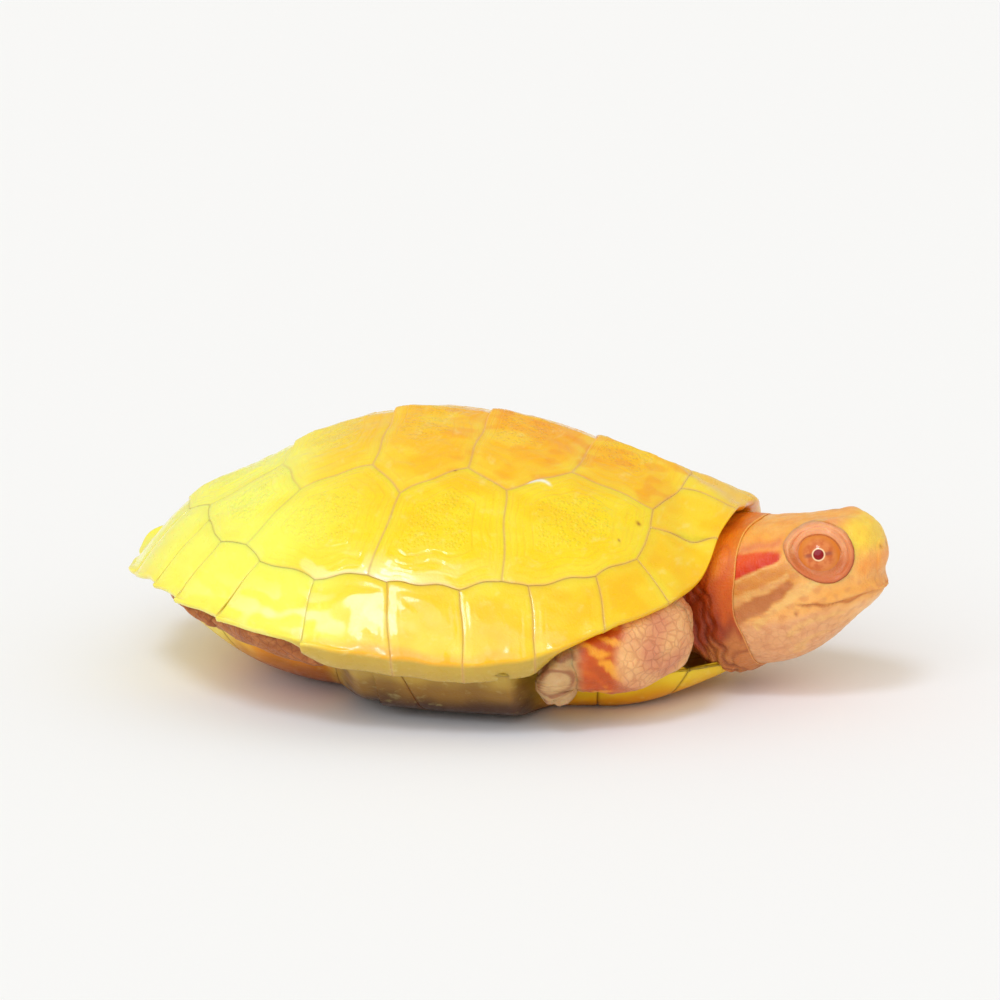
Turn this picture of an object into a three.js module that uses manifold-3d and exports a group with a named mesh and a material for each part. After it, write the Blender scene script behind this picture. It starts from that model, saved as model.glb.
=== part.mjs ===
// A young red-eared slider turtle of the yellow, unpigmented form, life size and at rest on its belly.
//
// Millimetres. +X points to the head, +Y to the animal's left, +Z up. The origin lies on the midline,
// in the middle of the flat on which the plastron rests.
//
// The carapace is one domed surface. It is parted into its horny scutes, which are closed solids with
// a thin seam between neighbours. The plastron is a second surface, parted in the same way. Head, neck,
// legs and tail are lofts of rounded sections, cut clear of the shell and of each other.

import * as THREE from 'three';
import { mergeVertices } from 'three/addons/utils/BufferGeometryUtils.js';
import Module from 'manifold-3d';

const wasm = await Module();
wasm.setup();

// ---------------------------------------------------------------- driving dimensions

const SHELL_LENGTH = 60;
const SHELL_WIDTH = 52;
const SPINE_SHARE = 0.8; // length of the keel line from which the dome's ribs run, as a share of the shell
const SCUTE_THICKNESS = 1.5;
const SEAM_GAP = 0.3; // clear width between neighbouring pieces
const CLEARANCE = 0.3; // between flesh and shell
const ROOM = 0.65; // cut round a limb or the neck, by a shape with fewer sides than the limb has
const KEEL_KNOB = 0.55; // height of the knob at the rear end of each vertebral scute
const KEEL_KNOB_WIDTH = 3.2;
const RIM_FLARE = 0.4; // how far a rear marginal's hind corner stands out past the next one
const LAST_FLARE = 0.75; // how far the last marginal stands out beside the notch on the midline
const FIRST_FLARED = 6; // index of the first marginal with a flared corner
const SCUTE_EDGE_DROP = 0.12; // the top of a scute falls by this much towards its seam

// The front rim is a little longer and lower on the left, as grown.
const FRONT_PUSH = { forward: 2.0, down: 1.2, angle: 12, spread: 14 };

const PLASTRON_FRONT = 29.4;
const PLASTRON_REAR = -26;
const PLASTRON_THICKNESS = 1.2;
const BRIDGE_HALF_WIDTH = 24.2;
const BRIDGE_REAR = [-6.4, -3.8]; // the plastron widens to its bridge between these two
const BRIDGE_FRONT = [11.2, 13.8]; // and narrows again between these
const FLAT_FRONT = 19; // the plastron is level between these two, on both sides of the midline
const FLAT_REAR = -9;
const REAR_LOBE_RISE = 8.4;
const FRONT_LOBE_RISE = 2.2;

const HEAD_BASE = new THREE.Vector3(29.5, -0.5, 11.2);
const HEAD_YAW = -14; // degrees, towards the animal's right
const HEAD_PITCH = 14; // degrees, upwards
const HEAD_START = 3.0; // where the head leaves the neck's sleeve, along the head's own axis
const MOUTH_GAP = 0.3;
const EYE = { along: 11.35, aside: 3.15, up: 1.2, radius: 2.35 };
const LIDS = { along: 12.0, aside: 2.6, up: 1.6, length: 3.4, depth: 2.3, height: 3.15 };
const SECTION_POWER = 2.3; // squares the rounded sections of head and neck a little

// Height of the keel over the shell's length.
const KEEL_X = [-30, -27, -24, -18, -12, -6, 0, 6, 12, 18, 24, 30];
const KEEL_Z = [10.5, 14.2, 16.9, 20.1, 23.4, 25.7, 26.6, 26.4, 25.4, 23.7, 22.0, 18.8];

// The rim, at the seams between the marginals: angle round the shell from the head, and height.
const RIM_ANGLE = [0, 4, 12.4, 20, 31.4, 47.4, 62.2, 76.1, 89.6, 106.9, 126, 138.6, 147.5, 163, 180];
const RIM_HEIGHT = [18.9, 19, 16.9, 13.9, 12.6, 11.1, 8.8, 8.1, 8.7, 9.6, 10.7, 11.3, 11.7, 10.9, 10.3];
const MARGINAL_ANGLE = [4, 12.4, 31.4, 47.4, 62.2, 76.1, 89.6, 106.9, 126, 138.6, 147.5, 163, 180];

// Corners of the scutes in plan, [forward, aside], for one side.
const CORNER = {
  nuchalMid: [25.6, 0],
  nuchalSide: [25.1, 3.0],
  v1Marginal: [22.8, 7.5],
  m1m2: [23.1, 9.8],
  m2m3: [22.3, 14.0],
  m3m4: [18.8, 17.2],
  m4m5: [12.6, 19.6],
  c1c2: [10.1, 19.6],
  m5m6: [6.2, 20.9],
  m6m7: [-1.0, 21.4],
  c2c3: [-2.8, 20.8],
  m7m8: [-8.1, 20.8],
  m8m9: [-14.1, 17.8],
  c3c4: [-15.8, 15.5],
  m9m10: [-18.9, 13.5],
  m10m11: [-21.0, 9.0],
  c4v5: [-21.5, 6.0],
  m11m12: [-23.9, 4.0],
  v5Mid: [-25.0, 0],
  v1v2Mid: [16.4, 0],
  v1v2: [14.9, 7.2],
  c1c2Top: [9.1, 11.8],
  v2v3: [5.0, 9.9],
  v2v3Mid: [5.8, 0],
  c2c3Top: [-0.9, 13.7],
  v3v4: [-4.3, 9.95],
  v3v4Mid: [-3.8, 0],
  c3c4Top: [-11.5, 10.9],
  v4v5: [-14.4, 4.3],
  v4v5Mid: [-14.0, 0],
};

// Each vertebral runs from its front seam on the midline round one side to its rear seam.
const VERTEBRALS = [
  ['nuchalMid', 'nuchalSide', 'v1Marginal', 'v1v2', 'v1v2Mid'],
  ['v1v2Mid', 'v1v2', 'c1c2Top', 'v2v3', 'v2v3Mid'],
  ['v2v3Mid', 'v2v3', 'c2c3Top', 'v3v4', 'v3v4Mid'],
  ['v3v4Mid', 'v3v4', 'c3c4Top', 'v4v5', 'v4v5Mid'],
  ['v4v5Mid', 'v4v5', 'c4v5', 'm11m12', 'v5Mid'],
];
const COSTALS = [
  ['v1Marginal', 'm1m2', 'm2m3', 'm3m4', 'm4m5', 'c1c2', 'c1c2Top', 'v1v2'],
  ['c1c2Top', 'c1c2', 'm5m6', 'm6m7', 'c2c3', 'c2c3Top', 'v2v3'],
  ['c2c3Top', 'c2c3', 'm7m8', 'm8m9', 'c3c4', 'c3c4Top', 'v3v4'],
  ['c3c4Top', 'c3c4', 'm9m10', 'm10m11', 'c4v5', 'v4v5'],
];
const MARGINAL_INNER = [
  ['nuchalSide', 'v1Marginal', 'm1m2'],
  ['m1m2', 'm2m3'],
  ['m2m3', 'm3m4'],
  ['m3m4', 'm4m5'],
  ['m4m5', 'c1c2', 'm5m6'],
  ['m5m6', 'm6m7'],
  ['m6m7', 'c2c3', 'm7m8'],
  ['m7m8', 'm8m9'],
  ['m8m9', 'c3c4', 'm9m10'],
  ['m9m10', 'm10m11'],
  ['m10m11', 'c4v5', 'm11m12'],
  ['m11m12', 'v5Mid'],
];

// The plastron's lobes: half width, height of the turned-up edge, and half width of the level part.
const LOBE_X = [-26, -24.5, -21, -17, -12, -7.5, 0, 8, 16, 20, 23.5, 26.5, 28.5, 29.4];
const LOBE_HALF_WIDTH = [6.3, 8.4, 11.2, 13, 14.2, 15, 15.4, 15.2, 14.4, 13.5, 12.2, 9.2, 5.6, 3.2];
const EDGE_X = [-26, -21, -17, -12, -7, -4, 4, 12, 15, 19, 23, 27, 29.4];
const EDGE_HEIGHT = [0.2, 0.7, 2.3, 3.8, 4.2, 5.2, 5.2, 5.0, 4.4, 4.0, 3.6, 2.4, 0.8];
const LEVEL_X = [-26, -17, -9, 0, 8, 16, 23, 27, 29.4];
const LEVEL_HALF_WIDTH = [3, 4.5, 4.5, 8.5, 10, 9.5, 8, 4.5, 1.5];

// Seams of the plastron: place on the midline and on the edge.
const PLASTRON_SEAMS = [
  { name: 'gular', mid: 21.5, edge: 26.8 },
  { name: 'humeral', mid: 17.0, edge: 18.5 },
  { name: 'pectoral', mid: 6.0, edge: 0.5 },
  { name: 'abdominal', mid: -8.0, edge: -7.0 },
  { name: 'femoral', mid: -15.5, edge: -19.5 },
  { name: 'anal', mid: PLASTRON_REAR + 1.2, edge: PLASTRON_REAR },
];

// The head's sections along its axis: top, bottom and half width.
const HEAD_X = [-3, 0, 3, 6, 9, 12, 14.3, 15.5, 16.1, 16.4];
const HEAD_TOP = [4.6, 4.9, 5.0, 4.95, 4.85, 4.6, 4.1, 3.45, 2.8, 1.7];
const HEAD_BOTTOM = [-8, -8.7, -9.2, -9, -8, -6.2, -4.8, -4.0, -3.4, -2.2];
const HEAD_HALF_WIDTH = [7, 7.3, 7.3, 7.1, 6.5, 5.4, 4.2, 3.2, 2.4, 1.5];
// The mouth line, [along, up], from the tip of the beak to the corner of the jaws.
const MOUTH_LINE = [[18, -3.2], [15.5, -3.1], [12.5, -3.4], [9.2, -3.1], [7.6, -4.2]];

const COLOURS = {
  scute: 0xf6cf3a,
  amber: 0xf0a92a,
  plastron: 0xe8b93c,
  skin: 0xe9a777,
  eye: 0xc98a5a,
};

// ---------------------------------------------------------------- small mathematics

const radians = THREE.MathUtils.degToRad;
const clamp = THREE.MathUtils.clamp;
const smoothstep = (x, from, to) => THREE.MathUtils.smoothstep(x, from, to);

// A smooth curve through a table of values: cubic between entries, with slopes from the neighbours.
function smoothTable(xs, ys) {
  const last = xs.length - 1;
  const slopes = xs.map((_, i) => {
    if (i === 0) return (ys[1] - ys[0]) / (xs[1] - xs[0]);
    if (i === last) return (ys[last] - ys[last - 1]) / (xs[last] - xs[last - 1]);
    const before = xs[i] - xs[i - 1];
    const after = xs[i + 1] - xs[i];
    const rise = (ys[i] - ys[i - 1]) / before;
    const next = (ys[i + 1] - ys[i]) / after;
    return (rise * after + next * before) / (before + after);
  });
  return (value) => {
    const x = clamp(value, xs[0], xs[last]);
    let i = 0;
    while (i < last - 1 && x > xs[i + 1]) i += 1;
    const h = xs[i + 1] - xs[i];
    const s = (x - xs[i]) / h;
    const a = ys[i] * (1 + 2 * s) * (1 - s) ** 2 + slopes[i] * h * s * (1 - s) ** 2;
    const b = ys[i + 1] * s * s * (3 - 2 * s) + slopes[i + 1] * h * s * s * (s - 1);
    return a + b;
  };
}

// The point at a share of the way along a polyline in plan.
function pointAlong(points, share) {
  const path = new THREE.CurvePath();
  for (let i = 0; i < points.length - 1; i += 1) {
    path.add(new THREE.LineCurve(new THREE.Vector2(...points[i]), new THREE.Vector2(...points[i + 1])));
  }
  const p = path.getPointAt(share);
  return [p.x, p.y];
}

// ---------------------------------------------------------------- solids

function geometryFrom(positions, indices) {
  const geometry = new THREE.BufferGeometry();
  geometry.setAttribute('position', new THREE.Float32BufferAttribute(positions, 3));
  geometry.setIndex(indices);
  return mergeVertices(geometry, 1e-4);
}

// Closes a stack of rings, each a list of [x, y, z] in the same order, with a fan at both ends. The
// fans meet in the rings' own centres, or in the points given.
function loftRings(rings, firstTip = null, lastTip = null) {
  const count = rings[0].length;
  const positions = rings.flat(2);
  const indices = [];
  for (let i = 0; i < rings.length - 1; i += 1) {
    for (let j = 0; j < count; j += 1) {
      const a = i * count + j;
      const b = i * count + ((j + 1) % count);
      indices.push(a, b, b + count, a, b + count, a + count);
    }
  }
  const capCentre = (ring) => ring[0].map((_, axis) => ring.reduce((sum, p) => sum + p[axis], 0) / count);
  const first = positions.length / 3;
  positions.push(...(firstTip || capCentre(rings[0])));
  positions.push(...(lastTip || capCentre(rings[rings.length - 1])));
  const base = (rings.length - 1) * count;
  for (let j = 0; j < count; j += 1) {
    const next = (j + 1) % count;
    indices.push(first, next, j);
    indices.push(first + 1, base + j, base + next);
  }
  return geometryFrom(positions, indices);
}

// A slab over a grid in plan: upper and lower skins joined by a wall round the border.
function slab(rows, columns, plan, upper, lower) {
  const positions = [];
  const indices = [];
  const width = columns + 1;
  const layer = (rows + 1) * width;
  for (const height of [upper, lower]) {
    for (let i = 0; i <= rows; i += 1) {
      for (let j = 0; j <= columns; j += 1) {
        const [x, y] = plan(i / rows, j / columns);
        positions.push(x, y, height(x, y));
      }
    }
  }
  const quad = (a, b, c, d) => indices.push(a, b, c, a, c, d);
  for (let i = 0; i < rows; i += 1) {
    for (let j = 0; j < columns; j += 1) {
      const a = i * width + j;
      quad(a, a + 1, a + width + 1, a + width);
      quad(layer + a, layer + a + width, layer + a + width + 1, layer + a + 1);
    }
  }
  const border = [];
  for (let j = 0; j < columns; j += 1) border.push(j);
  for (let i = 0; i < rows; i += 1) border.push(i * width + columns);
  for (let j = columns; j > 0; j -= 1) border.push(rows * width + j);
  for (let i = rows; i > 0; i -= 1) border.push(i * width);
  border.forEach((a, k) => {
    const b = border[(k + 1) % border.length];
    quad(b, a, layer + a, layer + b);
  });
  return geometryFrom(positions, indices);
}

function signedVolume(geometry) {
  const p = geometry.getAttribute('position');
  const index = geometry.getIndex();
  const corner = (k) => new THREE.Vector3().fromBufferAttribute(p, index.getX(k));
  let volume = 0;
  for (let i = 0; i < index.count; i += 3) {
    volume += corner(i).dot(corner(i + 1).cross(corner(i + 2))) / 6;
  }
  return volume;
}

// Turns a geometry's faces outwards if its enclosed volume comes out negative.
function facingOut(geometry) {
  if (signedVolume(geometry) > 0) return geometry;
  const index = geometry.getIndex();
  for (let i = 0; i < index.count; i += 3) {
    const b = index.getX(i + 1);
    index.setX(i + 1, index.getX(i + 2));
    index.setX(i + 2, b);
  }
  return geometry;
}

function mirrored(geometry) {
  const copy = geometry.clone();
  copy.scale(1, -1, 1);
  return facingOut(copy);
}

function toManifold(geometry) {
  const bare = facingOut(geometry.clone());
  bare.deleteAttribute('normal');
  bare.deleteAttribute('uv');
  const vertProperties = Float32Array.from(bare.getAttribute('position').array);
  const triVerts = Uint32Array.from(bare.getIndex().array);
  return new wasm.Manifold(new wasm.Mesh({ numProp: 3, vertProperties, triVerts }));
}

function fromManifold(solid) {
  const mesh = solid.getMesh();
  return geometryFrom(Array.from(mesh.vertProperties), Array.from(mesh.triVerts));
}

function joined(...geometries) {
  return fromManifold(geometries.map(toManifold).reduce((all, next) => all.add(next)));
}

function cut(geometry, ...tools) {
  const kept = tools.reduce((solid, tool) => solid.subtract(toManifold(tool)), toManifold(geometry));
  const bodies = kept.decompose().sort((a, b) => b.volume() - a.volume());
  return fromManifold(bodies[0]);
}

function common(geometry, tool) {
  return fromManifold(toManifold(geometry).intersect(toManifold(tool)));
}

// ---------------------------------------------------------------- the carapace's surface

const HALF_LENGTH = SHELL_LENGTH / 2;
const keelHeight = smoothTable(KEEL_X, KEEL_Z);
const rimHeight = smoothTable(RIM_ANGLE.map(radians), RIM_HEIGHT);

// Half width of the rim: blunt in front, elliptic behind.
function rimHalfWidth(x) {
  const t = clamp(x / HALF_LENGTH, -1, 1);
  const front = (1 - Math.abs(t) ** 2.7) ** 0.42 * (1 - 0.06 * t);
  const rear = Math.sqrt(1 - t * t);
  return (SHELL_WIDTH / 2) * (t > 0 ? front : rear);
}

// Share of the drop from keel to rim, at the share t of the way out along a rib.
function dropShare(t, angle) {
  const forward = Math.cos(angle);
  const sideways = Math.abs(Math.sin(angle));
  const flank = 0.22 * t + 0.78 * t ** 2.5;
  const end = forward > 0 ? t : 0.75 * t + 0.25 * t * t;
  return end * (1 - sideways) + flank * sideways;
}

// The rib on which a point in plan lies, found by halving, and how far out it is.
function ribAt(x, y) {
  const aside = Math.max(Math.abs(y), 1e-4);
  let low = -HALF_LENGTH + 1e-6;
  let high = HALF_LENGTH - 1e-6;
  for (let i = 0; i < 40; i += 1) {
    const middle = (low + high) / 2;
    const out = aside / Math.max(rimHalfWidth(middle), 1e-6);
    if (middle * (SPINE_SHARE + (1 - SPINE_SHARE) * out) > x) high = middle;
    else low = middle;
  }
  const rimX = (low + high) / 2;
  const onKeelLine = (Math.abs(x) / HALF_LENGTH - SPINE_SHARE) / (1 - SPINE_SHARE);
  const out = aside / Math.max(rimHalfWidth(rimX), 1e-6);
  return { angle: Math.acos(clamp(rimX / HALF_LENGTH, -1, 1)), out: out > 1.5 ? onKeelLine : out };
}

function carapaceHeight(x, y) {
  const { angle, out } = ribAt(x, y);
  const t = clamp(out, 0, 1);
  const top = keelHeight(SPINE_SHARE * HALF_LENGTH * Math.cos(angle));
  return top + (rimHeight(angle) - top) * dropShare(t, angle);
}

// A point of the rim at an angle in degrees, positive on the animal's left.
function rimPoint(degrees) {
  const angle = radians(degrees);
  const x = HALF_LENGTH * Math.cos(angle);
  const y = rimHalfWidth(x) * (degrees < 0 ? -1 : 1);
  const push = Math.exp(-(((degrees - FRONT_PUSH.angle) / FRONT_PUSH.spread) ** 2));
  return [x + FRONT_PUSH.forward * push, y, rimHeight(Math.abs(angle)) - FRONT_PUSH.down * push];
}

// ---------------------------------------------------------------- scutes

const corners = (names) => names.map((name) => CORNER[name]);

// Points round an outline, with each side divided into steps of about the given length.
function walk(outline, step) {
  const points = [];
  outline.forEach((from, i) => {
    const to = outline[(i + 1) % outline.length];
    const length = Math.hypot(to[0] - from[0], to[1] - from[1]);
    const count = Math.max(1, Math.round(length / step));
    for (let k = 0; k < count; k += 1) {
      const s = k / count;
      points.push([from[0] + (to[0] - from[0]) * s, from[1] + (to[1] - from[1]) * s]);
    }
  });
  return points;
}

function centreOf(points) {
  return [0, 1].map((axis) => points.reduce((sum, p) => sum + p[axis], 0) / points.length);
}

// A scute over its outline in plan: rings from the centre to a border held back from the seam.
function scuteSolid(outline, top) {
  const border = walk(outline, 4.4);
  const [cx, cy] = centreOf(border);
  const held = border.map(([x, y]) => {
    const reach = Math.hypot(x - cx, y - cy);
    const share = 1 - (SEAM_GAP * 0.62) / reach;
    return [cx + (x - cx) * share, cy + (y - cy) * share];
  });
  const ring = (share, lift) => held.map(([x, y]) => {
    const px = cx + (x - cx) * share;
    const py = cy + (y - cy) * share;
    return [px, py, top(px, py) + lift];
  });
  const under = -SCUTE_THICKNESS;
  const rings = [ring(0.6, under), ring(1, under), ring(1, -SCUTE_EDGE_DROP), ring(0.84, 0), ring(0.45, 0)];
  const crown = top(cx, cy);
  return facingOut(loftRings(rings, [cx, cy, crown + under], [cx, cy, crown]));
}

// The knob of a vertebral: it rises along the keel towards the scute's rear seam.
function keelKnob(front, rear) {
  return (x, y) => {
    const along = clamp((front - x) / (front - rear), 0, 1);
    return KEEL_KNOB * along ** 2 * Math.exp(-((y / KEEL_KNOB_WIDTH) ** 2));
  };
}

function vertebral(names) {
  const side = corners(names);
  const other = side.slice(1, -1).reverse().map(([x, y]) => [x, -y]);
  const knob = keelKnob(side[0][0], side[side.length - 1][0]);
  return scuteSolid([...side, ...other], (x, y) => carapaceHeight(x, y) + knob(x, y));
}

// How far the rim is grown together with the plastron's bridge, at an angle in degrees.
function bridgeShare(degrees) {
  return smoothstep(degrees, 56, 64) * (1 - smoothstep(degrees, 97, 106));
}

// Underside of a marginal, [inwards, up] from the rim: free, and grown down to the bridge.
const FREE_UNDERSIDE = [[0.15, -0.55], [1.0, -0.8], [2.9, -0.45]];
const BRIDGE_UNDERSIDE = [[0.25, -0.8], [1.3, -2.25], [2.9, -1.2]];
const UPPER_SHARES = [0.04, 0.38, 0.72, 1]; // places from the inner seam to the rim
const RIM_STEPS = 3; // lengths into which a marginal is divided along the rim

// The closed section of a marginal: its upper face from the seam to the rim, then under and back.
function marginalSection(inner, rim, inward, degrees) {
  const upper = UPPER_SHARES.map((s) => {
    const x = inner[0] + (rim[0] - inner[0]) * s;
    const y = inner[1] + (rim[1] - inner[1]) * s;
    return [x, y, s < 1 ? carapaceHeight(x, y) : rim[2]];
  });
  const share = bridgeShare(degrees);
  const lower = FREE_UNDERSIDE.map(([a, b], i) => {
    const inwards = a + (BRIDGE_UNDERSIDE[i][0] - a) * share;
    const up = b + (BRIDGE_UNDERSIDE[i][1] - b) * share;
    return [rim[0] + inward[0] * inwards, rim[1] + inward[1] * inwards, rim[2] + up];
  });
  const start = upper[0];
  return [...upper, ...lower, [start[0], start[1], start[2] - SCUTE_THICKNESS]];
}

// A marginal between two angles in degrees. The flare is a function of the share of the way along it.
function marginalSolid(innerLine, from, to, flare) {
  const reach = (Math.abs(radians(to - from)) * (SHELL_LENGTH + SHELL_WIDTH)) / 4;
  const hold = SEAM_GAP / 2 / reach;
  const sections = [];
  for (let i = 0; i <= RIM_STEPS; i += 1) {
    const s = hold + (1 - 2 * hold) * (i / RIM_STEPS);
    const degrees = from + (to - from) * s;
    const inner = pointAlong(innerLine, s);
    const rim = rimPoint(degrees);
    const foot = [SPINE_SHARE * rim[0], 0];
    const length = Math.hypot(foot[0] - rim[0], foot[1] - rim[1]);
    const inward = [(foot[0] - rim[0]) / length, (foot[1] - rim[1]) / length];
    const out = flare(s);
    const flared = [rim[0] - inward[0] * out, rim[1] - inward[1] * out, rim[2] - out / 4];
    sections.push(marginalSection(inner, flared, inward, Math.abs(degrees)));
  }
  return facingOut(loftRings(sections));
}

// Flare along a marginal: towards the hind corner, or beside the notch on the last one.
function flareOf(index) {
  if (index < FIRST_FLARED) return () => 0;
  const last = index === MARGINAL_INNER.length - 1;
  return last ? (s) => LAST_FLARE * Math.sin(Math.PI * s ** 0.8) : (s) => RIM_FLARE * s * s;
}

function marginal(index, side) {
  const inner = corners(MARGINAL_INNER[index]).map(([x, y]) => [x, side * y]);
  const [from, to] = [MARGINAL_ANGLE[index], MARGINAL_ANGLE[index + 1]];
  return marginalSolid(inner, side * from, side * to, flareOf(index));
}

function nuchal() {
  const [x, y] = CORNER.nuchalSide;
  const half = MARGINAL_ANGLE[0];
  return marginalSolid([[x, -y], CORNER.nuchalMid, [x, y]], -half, half, () => 0);
}

// ---------------------------------------------------------------- the plastron's surface

const lobeHalfWidth = smoothTable(LOBE_X, LOBE_HALF_WIDTH);
const edgeHeight = smoothTable(EDGE_X, EDGE_HEIGHT);
const levelHalfWidth = smoothTable(LEVEL_X, LEVEL_HALF_WIDTH);

function plastronHalfWidth(x) {
  const lobe = lobeHalfWidth(x);
  const bridge = smoothstep(x, ...BRIDGE_REAR) * (1 - smoothstep(x, ...BRIDGE_FRONT));
  return lobe + (BRIDGE_HALF_WIDTH - lobe) * bridge;
}

function plastronHeight(x, y) {
  const behind = Math.max(0, FLAT_REAR - x) / (FLAT_REAR - PLASTRON_REAR);
  const before = Math.max(0, x - FLAT_FRONT) / (PLASTRON_FRONT - FLAT_FRONT);
  const rise = REAR_LOBE_RISE * behind ** 1.7 + FRONT_LOBE_RISE * before ** 1.6;
  const level = levelHalfWidth(x);
  const out = Math.max(0, Math.abs(y) - level) / (plastronHalfWidth(x) - level);
  const power = x < -2 ? 2.3 : 3;
  return rise + edgeHeight(x) * Math.min(out, 1.05) ** power;
}

function plateTop(x, y) {
  const out = Math.min(1, Math.abs(y) / plastronHalfWidth(x));
  return plastronHeight(x, y) + PLASTRON_THICKNESS * (1 - 0.5 * out ** 4);
}

// A pair of plates, left and right in one piece, between two seams across the plastron.
function plates(front, rear, columns, rows) {
  const half = SEAM_GAP / 2;
  const plan = (s, q) => {
    const aside = 2 * q - 1;
    const share = Math.abs(aside) ** 1.5;
    const from = front.mid - half + (front.edge - front.mid) * share;
    const to = rear.mid + half + (rear.edge - rear.mid) * share;
    const x = to + (from - to) * s;
    return [x, aside * plastronHalfWidth(x)];
  };
  return facingOut(slab(rows, columns, plan, plateTop, plastronHeight));
}

// ---------------------------------------------------------------- flesh

// One rounded ring: an upright oval of a given half width, top and bottom round a centre, square to
// a heading. The power squares the oval a little.
function ovalRing(centre, heading, halfWidth, top, bottom, power = 2.2, count = 16) {
  const forward = heading.clone().normalize();
  const left = new THREE.Vector3(0, 0, 1).cross(forward).normalize();
  const up = forward.clone().cross(left);
  const soften = (v) => Math.sign(v) * Math.abs(v) ** (2 / power);
  return Array.from({ length: count }, (_, j) => {
    const angle = (j / count) * Math.PI * 2;
    const aside = soften(Math.cos(angle)) * halfWidth;
    const rise = soften(Math.sin(angle));
    const height = rise > 0 ? rise * top : -rise * bottom;
    const p = centre.clone().addScaledVector(left, aside).addScaledVector(up, height);
    return [p.x, p.y, p.z];
  });
}

const LIMB = { steps: 3, sides: 9, capReach: 0.8, capShare: 0.55 };
const TOOL = { steps: 3, sides: 8, capReach: 0.8, capShare: 0.55 };

// A limb: ovals along a curve through the stations [x, y, z, half width, half height], and a smaller
// oval past each end, which rounds it.
function limb(stations, grow = 0, detail = LIMB) {
  const path = new THREE.CatmullRomCurve3(stations.map((s) => new THREE.Vector3(s[0], s[1], s[2])));
  const place = stations.map((_, i) => i / (stations.length - 1));
  const halfWidth = smoothTable(place, stations.map((s) => s[3]));
  const halfHeight = smoothTable(place, stations.map((s) => s[4]));
  const ring = (s, share, ahead) => {
    const width = halfWidth(s) + grow;
    const height = halfHeight(s) + grow;
    const heading = path.getTangent(s);
    const centre = path.getPoint(s).addScaledVector(heading, ahead * Math.min(width, height));
    return ovalRing(centre, heading, width * share, height * share, -height * share, 2, detail.sides);
  };
  const middle = Array.from({ length: detail.steps + 1 }, (_, i) => ring(i / detail.steps, 1, 0));
  const first = ring(0, detail.capShare, -detail.capReach);
  const last = ring(1, detail.capShare, detail.capReach);
  return facingOut(loftRings([first, ...middle, last]));
}

const headTop = smoothTable(HEAD_X, HEAD_TOP);
const headBottom = smoothTable(HEAD_X, HEAD_BOTTOM);
const headHalfWidth = smoothTable(HEAD_X, HEAD_HALF_WIDTH);

const HEAD_AXIS = new THREE.Vector3(1, 0, 0)
  .applyAxisAngle(new THREE.Vector3(0, 1, 0), -radians(HEAD_PITCH))
  .applyAxisAngle(new THREE.Vector3(0, 0, 1), radians(HEAD_YAW));
const HEAD_LEFT = new THREE.Vector3(0, 0, 1).cross(HEAD_AXIS).normalize();
const HEAD_UP = HEAD_AXIS.clone().cross(HEAD_LEFT);
const HEAD_FRAME = new THREE.Matrix4()
  .makeBasis(HEAD_AXIS, HEAD_LEFT, HEAD_UP)
  .setPosition(HEAD_BASE);

function headPoint(along, aside, up) {
  return new THREE.Vector3(along, aside, up).applyMatrix4(HEAD_FRAME);
}

function headRing(along, grow = 0, count = 18) {
  const top = headTop(along);
  const bottom = headBottom(along);
  const middle = (top + bottom) / 2 + 0.1 * (top - bottom);
  const halfWidth = headHalfWidth(along) + grow;
  const centre = headPoint(along, 0, middle);
  const [rise, fall] = [top - middle + grow, bottom - middle - grow];
  return ovalRing(centre, HEAD_AXIS, halfWidth, rise, fall, SECTION_POWER, count);
}

function ellipsoid(along, aside, up, rx, ry, rz, detail = 10) {
  const sphere = new THREE.SphereGeometry(1, detail, Math.round(detail * 0.6));
  sphere.scale(rx, ry, rz);
  sphere.translate(along, aside, up);
  sphere.applyMatrix4(HEAD_FRAME);
  sphere.deleteAttribute('normal');
  sphere.deleteAttribute('uv');
  return mergeVertices(sphere, 1e-4);
}

const WEDGE = { front: 18, low: -14, halfDepth: 10, behind: 1.2 };

// The wedge under the mouth line that parts the lower jaw from the head, drawn in by a gap.
function jawWedge(gap) {
  const line = MOUTH_LINE.map(([along, up]) => new THREE.Vector2(along, up - gap));
  const corner = line[line.length - 1];
  corner.x += gap;
  const shape = new THREE.Shape([
    ...line,
    new THREE.Vector2(corner.x + WEDGE.behind, WEDGE.low),
    new THREE.Vector2(WEDGE.front, WEDGE.low),
  ]);
  const wedge = new THREE.ExtrudeGeometry(shape, { depth: 2 * WEDGE.halfDepth, bevelEnabled: false });
  wedge.translate(0, 0, -WEDGE.halfDepth);
  wedge.rotateX(Math.PI / 2);
  wedge.applyMatrix4(HEAD_FRAME);
  wedge.deleteAttribute('normal');
  wedge.deleteAttribute('uv');
  return mergeVertices(wedge, 1e-4);
}

const HEAD_STATIONS = [HEAD_START, 5, 7, 9, 11, 13, 14.5, 15.5, 16.1, 16.4];

function headParts() {
  const skull = facingOut(loftRings(HEAD_STATIONS.map((s) => headRing(s))));
  const sides = [-1, 1];
  const lids = sides.map((side) => (
    ellipsoid(LIDS.along, side * LIDS.aside, LIDS.up, LIDS.length, LIDS.depth, LIDS.height)));
  const room = EYE.radius + CLEARANCE;
  const sockets = sides.map((side) => (
    ellipsoid(EYE.along, side * EYE.aside, EYE.up, room, room, room)));
  const whole = cut(joined(skull, ...lids), ...sockets);
  const eyes = sides.map((side) => (
    ellipsoid(EYE.along, side * EYE.aside, EYE.up, EYE.radius, EYE.radius, EYE.radius)));
  return {
    head: cut(whole, jawWedge(0)),
    jaw: common(whole, jawWedge(MOUTH_GAP)),
    eyeRight: eyes[0],
    eyeLeft: eyes[1],
  };
}

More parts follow.
